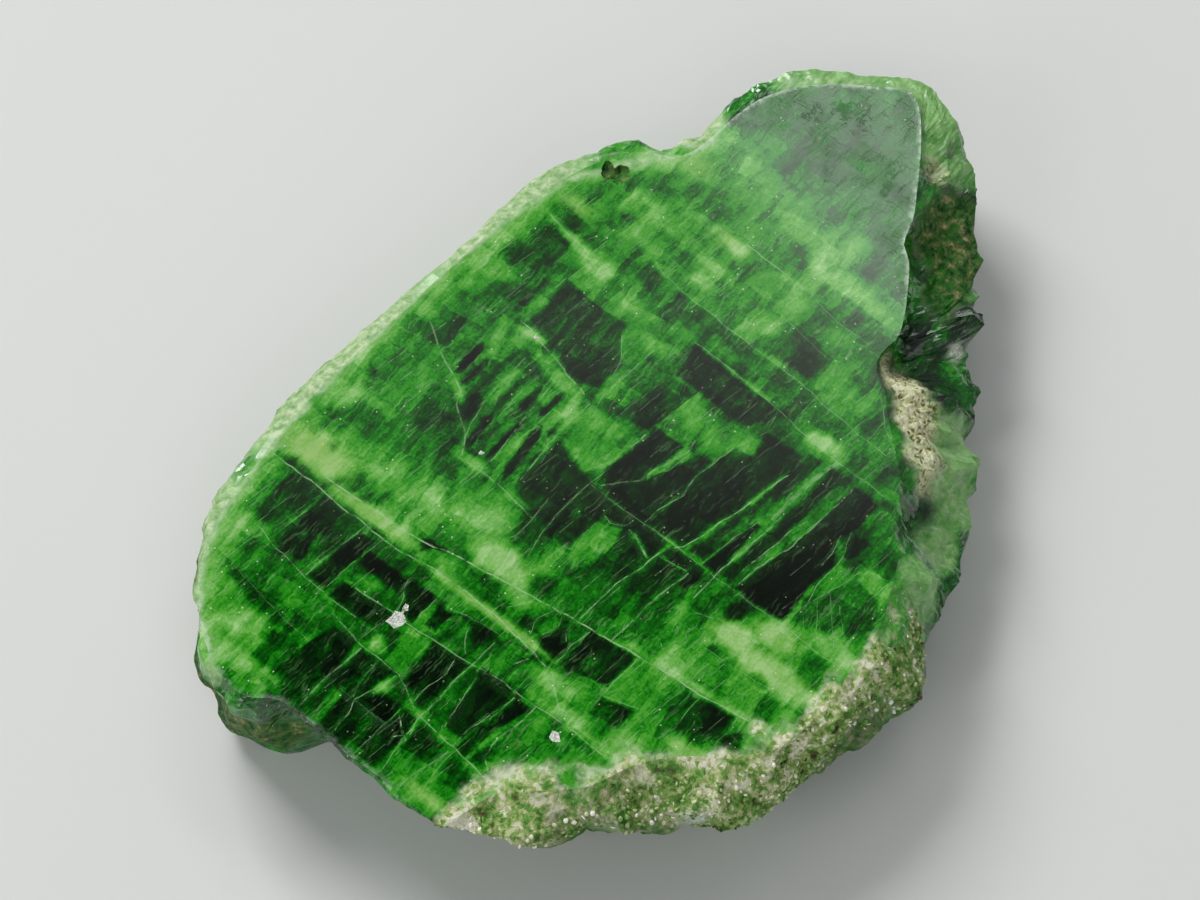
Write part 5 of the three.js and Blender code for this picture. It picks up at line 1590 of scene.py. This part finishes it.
    def stone_colour(
        self, s: Shader, colour: Wire, medium: Wire, specks: Wire, shares: dict[str, Wire]
    ) -> Wire:
        """Lays the rim, a painted highlight along the polished edge, crust, grains and other rough stone
        over the crystal's colour.

        Args:
            s: the shader that it is added to.
            colour: colour of the crystal.
            medium: noise of a medium scale.
            specks: noise of a small scale.
            shares: shares of the painted edge highlight, the grains and the olive stone.

        Returns:
            The colour.
        """
        colour = s.blend(s.attribute("rim"), colour, s.ramp(medium, self.rims))
        # Painted highlight: a pale line along the polished edge
        colour = s.blend(shares["edge"], colour, self.painted_edge_highlight)
        sugar = s.add("ShaderNodeSeparateColor", {}, {"Color": s.cells((4.5, 4.5, 4.5))}, "Red")
        crusted = (medium * 0.6 + specks * 0.35 + sugar * 0.2 - 0.07).eased(0.3, 0.66)
        colour = s.blend(s.attribute("crust"), colour, s.ramp(crusted, self.crusts))
        lumps = s.noise((0.75, 0.75, 0.75), 2.0)
        # Grains darker towards the floor: brown stone low on the wall, and painted shade of the undercut
        # lower wall
        low = s.height().eased(1.0, 7.6, -1.28, -0.98)
        sugared = (sugar * 0.45 + medium * 1.2 + lumps * 1.7 + low).clamped()
        colour = s.blend(shares["grain"], colour, s.ramp(sugared, self.grains))
        colour = s.blend(shares["olive"], colour, s.ramp(medium, self.olives))
        chalk = s.blend(specks.eased(0.35, 0.6), self.grey_chalk, self.white_chalk)
        return s.blend(s.attribute("white") * medium.eased(0.34, 0.42), colour, chalk)

    @staticmethod
    def roughness(s: Shader, place: Wire, medium: Wire, broad: Wire, stony: Wire) -> Wire:
        """Roughness of the polish with its smudges, scratches and scuffs, and of the rough stone.

        Args:
            s: the shader that it is added to.
            place: coordinates in millimetres.
            medium: noise of a medium scale.
            broad: noise of a large scale.
            stony: share of rough stone.

        Returns:
            The roughness.
        """
        calm = s.attribute("calm")
        scuff = s.attribute("scuff") * medium.eased(0.44, 0.58)
        scratches = s.noise((9.0, 0.5, 1.0), 2.0, 0.5, place).eased(0.58, 0.64)
        crossed = s.noise((0.45, 8.0, 1.0), 2.0, 0.5, place).eased(0.6, 0.66)
        smudge = broad.eased(0.4, 0.65, 0.0, 0.16) * calm + scratches.at_least(crossed) * calm * 0.16
        return (stony.eased(0.0, 0.4) * 0.45 + scuff * 0.5 + smudge + 0.05).clamped()

    def tone(self, s: Shader, place: Wire, medium: Wire, specks: Wire) -> Wire:
        """The mesh's tone with fine splinters, streaks and specks.

        Args:
            s: the shader that it is added to.
            place: coordinates in millimetres.
            medium: noise of a medium scale.
            specks: noise of a small scale.

        Returns:
            The tone.
        """
        needles = self.splits(s, place, 90.0 + self.lean, 2.1, 0.42)
        blocks = self.splits(s, place, self.lean, 1.7, 1.1)
        mottle = s.noise((0.9, 0.7, 0.9), 4.0, 0.62)
        streaks = s.noise((4.2, 0.6, 1.2), 3.0, 0.65, place)
        varied = (mottle - 0.5) * 0.36 + (streaks - 0.5) * 0.40 + (specks - 0.5) * 0.26
        varied = varied + (medium - 0.5) * 0.26 + (needles - 0.5) * 0.17 + (blocks - 0.5) * 0.13
        return s.attribute("tone") + varied * (1.0 - s.attribute("calm") * 0.6)

    @staticmethod
    def wandering_place(s: Shader) -> Wire:
        """Object coordinates in millimetres, pushed about a little.

        Args:
            s: the shader that they are added to.

        Returns:
            The pushed place.
        """
        inputs = {"Vector": s.object_place((0.9, 0.9, 0.9)), "Scale": 1.0, "Detail": 2.0}
        noise = s.add("ShaderNodeTexNoise", {}, inputs, "Color")
        push = s.add("ShaderNodeVectorMath", {"operation": "SCALE"}, {0: noise, "Scale": 0.7})
        place = s.object_place((1.0, 1.0, 1.0))
        return s.add("ShaderNodeVectorMath", {"operation": "ADD"}, {0: place, 1: push})

    @staticmethod
    def splits(s: Shader, place: Wire, turn: float, length: float, width: float) -> Wire:
        """Cleavage splinters.

        Args:
            s: the shader that they are added to.
            place: coordinates in millimetres.
            turn: turn about the upright axis, in degrees.
            length: length of a splinter.
            width: width of a splinter.

        Returns:
            A value for each splinter.
        """
        inputs = {"Vector": place, "Angle": math.radians(turn)}
        turned = s.add("ShaderNodeVectorRotate", {"rotation_type": "Z_AXIS"}, inputs)
        inputs = {
            "Vector": turned, "Color1": (0, 0, 0, 1), "Color2": (1, 1, 1, 1), "Mortar": (0.5, 0.5, 0.5, 1),
            "Scale": 0.9, "Mortar Size": 0.0, "Brick Width": length, "Row Height": width,
        }
        bricks = s.add("ShaderNodeTexBrick", {"offset": 0.37, "offset_frequency": 3}, inputs)
        return s.add("ShaderNodeSeparateColor", {}, {"Color": bricks}, "Red")


@dataclass(frozen=True)
class VeilFinish:
    """The pale broken surface inside a cleavage crack."""

    pale: Colour = (0.45, 0.72, 0.42)
    dark: Colour = (0.06, 0.30, 0.06)

    def material(self) -> bpy.types.Material:
        """Builds the material."""
        s = Shader("cleavage_veil")
        value = s.noise((1.6, 1.0, 1.6), 4.0, 0.6).eased(0.35, 0.65)
        colour = s.blend(value, self.dark, self.pale)
        surface = s.add("ShaderNodeBsdfPrincipled", {}, {"Base Color": colour, "Roughness": 0.35})
        s.add("ShaderNodeOutputMaterial", {}, {"Surface": surface})
        return s.material


@dataclass
class CleavageVeils:
    """Thin broken sheets that run down into the crystal from its cracks."""

    name: str = "cleavage_veils"
    below_face: float = 0.12
    thickness: float = 0.03
    lean: Point = (0.35, 0.3)
    step: float = 0.4
    from_edge: float = 0.5
    deepest: float = 4.5
    bulge: float = 0.12
    inside: Outline = (
        (-5.9, 27.8), (-12.4, 21.8), (-13, 16), (-17.5, 10), (-18.6, -4), (-18.2, -14.5), (-16.2, -22.2),
        (-12.2, -26.2), (4, -26), (15, -11.3), (15.3, -5), (10, 6.2), (4, 12), (-1.2, 22.2),
    )

    def build(self, material: bpy.types.Material) -> bpy.types.Object:
        """Builds every sheet.

        Args:
            material: finish of the sheets.

        Returns:
            One object that holds all of them.
        """
        points, faces = [], []
        outline = np.array(self.inside)
        for number, crack in enumerate(CRACKS):
            if crack.depth:
                self.add_sheet(crack, number, outline, points, faces)
        mesh = bpy.data.meshes.new(self.name)
        mesh.from_pydata((np.array(points) * MM).tolist(), [], faces)
        mesh.validate()
        veils = linked(self.name, mesh)
        shell = bmesh.new()
        shell.from_mesh(mesh)
        bmesh.ops.recalc_face_normals(shell, faces=shell.faces)
        shell.to_mesh(mesh)
        shell.free()
        mesh.materials.append(material)
        LOG.info("veils: %d faces", len(mesh.polygons))
        return veils

    def add_sheet(self, crack: Crack, number: int, outline: np.ndarray, points: list, faces: list) -> None:
        """Adds the sheet of one crack, with a ragged lower edge, as a thin closed slab.

        Args:
            crack: the crack that it hangs from.
            number: number of the crack, which sets its lean and its ragged edge.
            outline: outline that the sheet stays inside.
            points: points so far, which are added to.
            faces: faces so far, which are added to.
        """
        line = np.array(crack.line, float)
        lengths = np.concatenate([[0], np.cumsum(np.linalg.norm(np.diff(line, axis=0), axis=1))])
        count = max(3, int(lengths[-1] / self.step))
        along = np.linspace(0, lengths[-1], count)
        top = np.column_stack([np.interp(along, lengths, line[:, k]) for k in (0, 1)])
        top = top[depth_inside(top, outline) > self.from_edge]
        if len(top) < 3:
            return
        ragged = lattice_noise(top * 1.3 + number * 3.7, 6.0)
        depth = np.minimum(crack.depth * (0.45 + 1.1 * ragged), self.deepest)
        direction = np.array(self.lean) * (1 if number % 2 else -1)
        across = np.gradient(top, axis=0)
        across /= np.linalg.norm(across, axis=1)[:, None]
        side = np.column_stack([-across[:, 1], across[:, 0]])
        base = len(points)
        for level in (0.0, 0.5, 1.0):
            for wall in (-1, 1):
                shift = top + direction * (depth * level)[:, None] + side * wall * self.thickness / 2
                bulge = side * (self.bulge * (lattice_noise(top * 2.0 + level * 5, 3.0) - 0.5))[:, None]
                heights = FACE_HEIGHT - self.below_face - depth * level
                points.extend(np.column_stack([shift + bulge - PLAN_ORIGIN, heights]).tolist())
        width = len(top)
        ring = [0, 2, 4, 5, 3, 1]
        for k in range(width - 1):
            for a, b in zip(ring, ring[1:] + ring[:1]):
                near, far = base + a * width + k, base + b * width + k
                faces.append([near, far, far + 1, near + 1])
        faces.append([base + a * width for a in ring])
        faces.append([base + a * width + width - 1 for a in reversed(ring)])


@dataclass(frozen=True)
class GrainFinish:
    """White, cream, brown and green grains, one colour for each, darker towards the floor: brown stone
    there, and painted shade.
    """

    shine: float = 0.35
    shades: Stops = (
        (0.0, (0.05, 0.045, 0.014)),
        (0.12, (0.16, 0.13, 0.04)),
        (0.25, (0.07, 0.25, 0.025)),
        (0.5, (0.22, 0.38, 0.09)),
        (0.72, (0.44, 0.51, 0.22)),
        (0.90, (0.66, 0.68, 0.42)),
        (0.98, (0.93, 0.91, 0.80)),
    )

    def material(self) -> bpy.types.Material:
        """Builds the material."""
        s = Shader("sugar_grain")
        lumps = s.noise((0.75, 0.75, 0.75), 2.0)
        # Grains darker towards the floor: brown stone low on the wall, and painted shade of the undercut
        # lower wall
        low = s.height().eased(1.0, 7.6, -0.95, -0.68)
        shade = (s.attribute("shade") * 0.85 + lumps * 1.8 + low).clamped()
        rough = s.noise((9.0, 9.0, 9.0), 1.0).eased(0.3, 0.7, 0.2, 0.5)
        surface = s.add("ShaderNodeBsdfPrincipled", {}, {
            "Base Color": s.ramp(shade, self.shades), "Roughness": rough, "Specular IOR Level": self.shine,
        })
        s.add("ShaderNodeOutputMaterial", {}, {"Surface": surface})
        return s.material


@dataclass
class SugarGrains:
    """Small crystals that stand all over the granular stretch of the wall."""

    name: str = "sugar_grains"
    spacing: float = 0.27
    density: float = 22.0
    smallest: float = 0.04
    largest: float = 0.19
    seed: int = 11
    least_share: float = 0.4
    below_face: float = 0.3
    above_floor: float = 0.35

    def build(self, slice_object: bpy.types.Object, material: bpy.types.Material) -> bpy.types.Object:
        """Scatters the grains and makes them one plain mesh.

        Args:
            slice_object: the slice, whose wall carries them.
            material: finish of the grains.

        Returns:
            One object that holds all grains.
        """
        skin = self.granular_skin(slice_object)
        holder = linked(self.name, skin)
        scatter = holder.modifiers.new("scatter", "NODES")
        scatter.node_group = self.tree(material)
        sizes = {"Spacing": self.spacing * MM, "Density": self.density / MM**2}
        sizes |= {"Smallest": self.smallest * MM, "Largest": self.largest * MM, "Seed": self.seed}
        for item in scatter.node_group.interface.items_tree:
            if item.name in sizes:
                scatter[item.identifier] = sizes[item.name]
        evaluated = holder.evaluated_get(bpy.context.evaluated_depsgraph_get())
        made = bpy.data.meshes.new_from_object(evaluated)
        holder.modifiers.clear()
        holder.data = made
        made.name = self.name
        bpy.data.meshes.remove(skin)
        LOG.info("grains: %d faces", len(made.polygons))
        return holder

    def granular_skin(self, slice_object: bpy.types.Object) -> bpy.types.Mesh:
        """Copies the granular faces of the slice's wall.

        Args:
            slice_object: the slice.

        Returns:
            A mesh of those faces alone.
        """
        shell = bmesh.new()
        shell.from_mesh(slice_object.data)
        grain = shell.loops.layers.float["grain"]
        low, high = self.above_floor * MM, (FACE_HEIGHT - self.below_face) * MM
        left_out = [
            f for f in shell.faces
            if min(v.co.z for v in f.verts) < low
            or max(v.co.z for v in f.verts) > high
            or sum(loop[grain] for loop in f.loops) / 3 < self.least_share
        ]
        bmesh.ops.delete(shell, geom=left_out, context="FACES")
        skin = bpy.data.meshes.new("granular_skin")
        shell.to_mesh(skin)
        shell.free()
        return skin

    def tree(self, material: bpy.types.Material) -> bpy.types.GeometryNodeTree:
        """Builds the tree that scatters grains of random size and turn over a mesh.

        Args:
            material: finish of the grains.

        Returns:
            The tree, with inputs for the spacing, density, sizes and seed.
        """
        tree = bpy.data.node_groups.new("scatter_grains", "GeometryNodeTree")
        tree.interface.new_socket("Geometry", in_out="INPUT", socket_type="NodeSocketGeometry")
        for name in ("Spacing", "Density", "Smallest", "Largest"):
            tree.interface.new_socket(name, in_out="INPUT", socket_type="NodeSocketFloat")
        tree.interface.new_socket("Seed", in_out="INPUT", socket_type="NodeSocketInt")
        tree.interface.new_socket("Geometry", in_out="OUTPUT", socket_type="NodeSocketGeometry")
        given = tree.nodes.new("NodeGroupInput").outputs
        points = self.node(tree, "GeometryNodeDistributePointsOnFaces", {"distribute_method": "POISSON"}, {
            "Mesh": given["Geometry"], "Distance Min": given["Spacing"], "Density Max": given["Density"],
            "Seed": given["Seed"],
        })
        grain = self.node(tree, "GeometryNodeMeshIcoSphere", {}, {"Radius": 1.0, "Subdivisions": 1})
        turn = self.node(tree, "FunctionNodeRandomValue", {"data_type": "FLOAT_VECTOR"}, {
            1: (math.tau, math.tau, math.tau), "Seed": given["Seed"],
        })
        size = self.node(tree, "FunctionNodeRandomValue", {"data_type": "FLOAT_VECTOR"}, {
            0: given["Smallest"], 1: given["Largest"], "Seed": given["Seed"],
        })
        placed = self.node(tree, "GeometryNodeInstanceOnPoints", {}, {
            "Points": points.outputs["Points"], "Instance": grain.outputs["Mesh"],
            "Rotation": turn.outputs[0], "Scale": size.outputs[0],
        })
        shade = self.node(tree, "FunctionNodeRandomValue", {"data_type": "FLOAT"}, {"Seed": given["Seed"]})
        settings = {"domain": "INSTANCE", "data_type": "FLOAT"}
        kept = self.node(tree, "GeometryNodeStoreNamedAttribute", settings, {
            "Geometry": placed.outputs["Instances"], "Name": "shade", "Value": shade.outputs[1],
        })
        real = self.node(tree, "GeometryNodeRealizeInstances", {}, {"Geometry": kept.outputs["Geometry"]})
        dressed = self.node(tree, "GeometryNodeSetMaterial", {}, {
            "Geometry": real.outputs["Geometry"], "Material": material,
        })
        self.node(tree, "NodeGroupOutput", {}, {"Geometry": dressed.outputs["Geometry"]})
        return tree

    @staticmethod
    def node(tree: bpy.types.GeometryNodeTree, kind: str, settings: dict, inputs: dict) -> bpy.types.Node:
        """Adds a node to a tree.

        Args:
            tree: the tree.
            kind: the node's type.
            settings: values that are set on the node before its sockets.
            inputs: socket names or numbers, with a value or a socket to link for each.

        Returns:
            The node.
        """
        node = tree.nodes.new(kind)
        for name, value in settings.items():
            setattr(node, name, value)
        for name, value in inputs.items():
            if isinstance(value, bpy.types.NodeSocket):
                tree.links.new(value, node.inputs[name])
            else:
                node.inputs[name].default_value = value
        return node


@dataclass
class Studio:
    """Pale floor, soft lights and the camera of the photograph."""

    azimuth: float = 40.0
    elevation: float = 58.0
    distance: float = 220.0
    target: Place = (-4.0, -3.0, 8.0)
    pixels_per_mm: float = 18.0
    image_width: float = 1200.0
    sensor: float = 36.0
    floor_half: float = 1.5
    floor_drop: float = 0.00005
    floor_colour: Colour = (0.72, 0.72, 0.70)
    sky: Colour = (0.068, 0.072, 0.076)
    mirrored: Place = (-0.33, 0.43, 0.84)
    mirrored_reach: Point = (0.86, 0.93)
    sheen_axis: Place = (0.0, 1.0, 0.0)
    sheen_strength: float = 3.0
    sheen: Stops = (
        (0.33, (0.008, 0.009, 0.009)),
        (0.40, (0.022, 0.023, 0.022)),
        (0.435, (0.055, 0.055, 0.055)),
        (0.456, (0.13, 0.13, 0.13)),
        (0.467, (0.26, 0.27, 0.26)),
        (0.483, (0.85, 0.9, 0.87)),
        (0.56, (1.0, 1.0, 1.0)),
        (0.64, (0.06, 0.06, 0.06)),
    )
    haze_axis: Place = (-0.67, 0.74, 0.0)
    haze: Stops = (
        (0.50, (0.0, 0.0, 0.0)),
        (0.52, (0.055, 0.055, 0.055)),
        (0.558, (0.11, 0.11, 0.11)),
        (0.578, (0.0, 0.0, 0.0)),
    )
    lamps: tuple[tuple[str, Place, float, float], ...] = (
        ("key", (-0.62, 0.16, 0.55), 0.40, 5.5),
        ("fill", (0.55, -0.45, 0.50), 0.50, 1.3),
        ("front", (-0.10, -0.65, 0.40), 0.40, 1.0),
    )

    def build(self) -> None:
        """Builds the floor, the lights, the world and the camera."""
        self.floor()
        self.world()
        for name, place, size, power in self.lamps:
            self.light(name, place, size, power)
        self.camera()

    def floor(self) -> None:
        """A large pale floor at the slice's foot."""
        h = self.floor_half
        mesh = bpy.data.meshes.new("floor")
        mesh.from_pydata([(-h, -h, 0), (h, -h, 0), (h, h, 0), (-h, h, 0)], [], [(0, 1, 2, 3)])
        floor = linked("floor", mesh)
        floor.location.z = -self.floor_drop
        s = Shader("pale_floor")
        inputs = {"Base Color": (*self.floor_colour, 1), "Roughness": 0.8}
        surface = s.add("ShaderNodeBsdfPrincipled", {}, inputs)
        s.add("ShaderNodeOutputMaterial", {}, {"Surface": surface})
        mesh.materials.append(s.material)

    def world(self) -> None:
        """A dim sky with a soft bright patch, whose reflection lies over the tip of the polished face."""
        world = bpy.data.worlds.new("studio")
        bpy.context.scene.world = world
        world.use_nodes = True
        s = Shader.of_tree(world.node_tree)
        direction = s.add("ShaderNodeTexCoord", {}, {}, "Generated")
        height = s.dot(direction, self.sheen_axis)
        across = s.dot(direction, self.haze_axis)
        sky = s.blend(1.0, s.ramp(height, self.sheen), s.ramp(across, self.haze), "ADD")
        aside = s.dot(direction, self.mirrored).eased(*self.mirrored_reach)
        colour = s.blend(aside, self.sky, sky)
        background = s.add("ShaderNodeBackground", {}, {"Color": colour, "Strength": self.sheen_strength})
        s.add("ShaderNodeOutputWorld", {}, {"Surface": background})

    @staticmethod
    def light(name: str, place: Place, size: float, power: float) -> None:
        """Adds a square soft light that faces the slice.

        Args:
            name: the light's name.
            place: its place, in metres.
            size: length of its side, in metres.
            power: its power, in watts.
        """
        lamp = bpy.data.lights.new(name, "AREA")
        lamp.shape = "SQUARE"
        lamp.size = size
        lamp.energy = power
        holder = linked(name, lamp)
        holder.location = place
        holder.rotation_mode = "QUATERNION"
        holder.rotation_quaternion = (-Vector(place)).to_track_quat("-Z", "Y")

    def view_back(self) -> Vector:
        """Direction from the target to the camera."""
        a, e = math.radians(self.azimuth), math.radians(self.elevation)
        return Vector((math.sin(a) * math.cos(e), -math.cos(a) * math.cos(e), math.sin(e)))

    def aim(self) -> Vector:
        """The camera's target in the part's frame, in metres."""
        x, y, z = self.target
        return Vector((x - PLAN_ORIGIN[0], y - PLAN_ORIGIN[1], z)) * MM

    def camera(self) -> None:
        """The camera of the photograph."""
        data = bpy.data.cameras.new("camera")
        data.sensor_width = self.sensor
        data.lens = self.pixels_per_mm * self.distance * self.sensor / self.image_width
        data.clip_start = 0.01
        holder = linked("camera", data)
        holder.location = self.aim() + self.view_back() * self.distance * MM
        holder.rotation_mode = "QUATERNION"
        holder.rotation_quaternion = (-self.view_back()).to_track_quat("-Z", "Y")
        bpy.context.scene.camera = holder


def add_piece(piece: bpy.types.Object) -> None:
    """Fixes a piece to the part and reports it.

    Args:
        piece: the finished piece.
    """
    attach(piece, "root")
    LOG.info("piece %s: %d faces", piece.name, len(piece.data.polygons))


def main() -> None:
    logging.basicConfig(level=logging.INFO, format="%(message)s")
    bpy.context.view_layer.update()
    Studio().build()
    bpy.context.scene.view_settings.view_transform = "Standard"
    bpy.context.scene.cycles.max_bounces = 6
    bpy.context.scene.cycles.diffuse_bounces = 2
    bpy.context.scene.cycles.transmission_bounces = 5
    slice_object = CrystalSlice().build(DiopsideFinish().material())
    add_piece(slice_object)
    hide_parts("crystal")
    add_piece(CleavageVeils().build(VeilFinish().material()))
    add_piece(SugarGrains().build(slice_object, GrainFinish().material()))


if __name__ == "__main__":
    main()
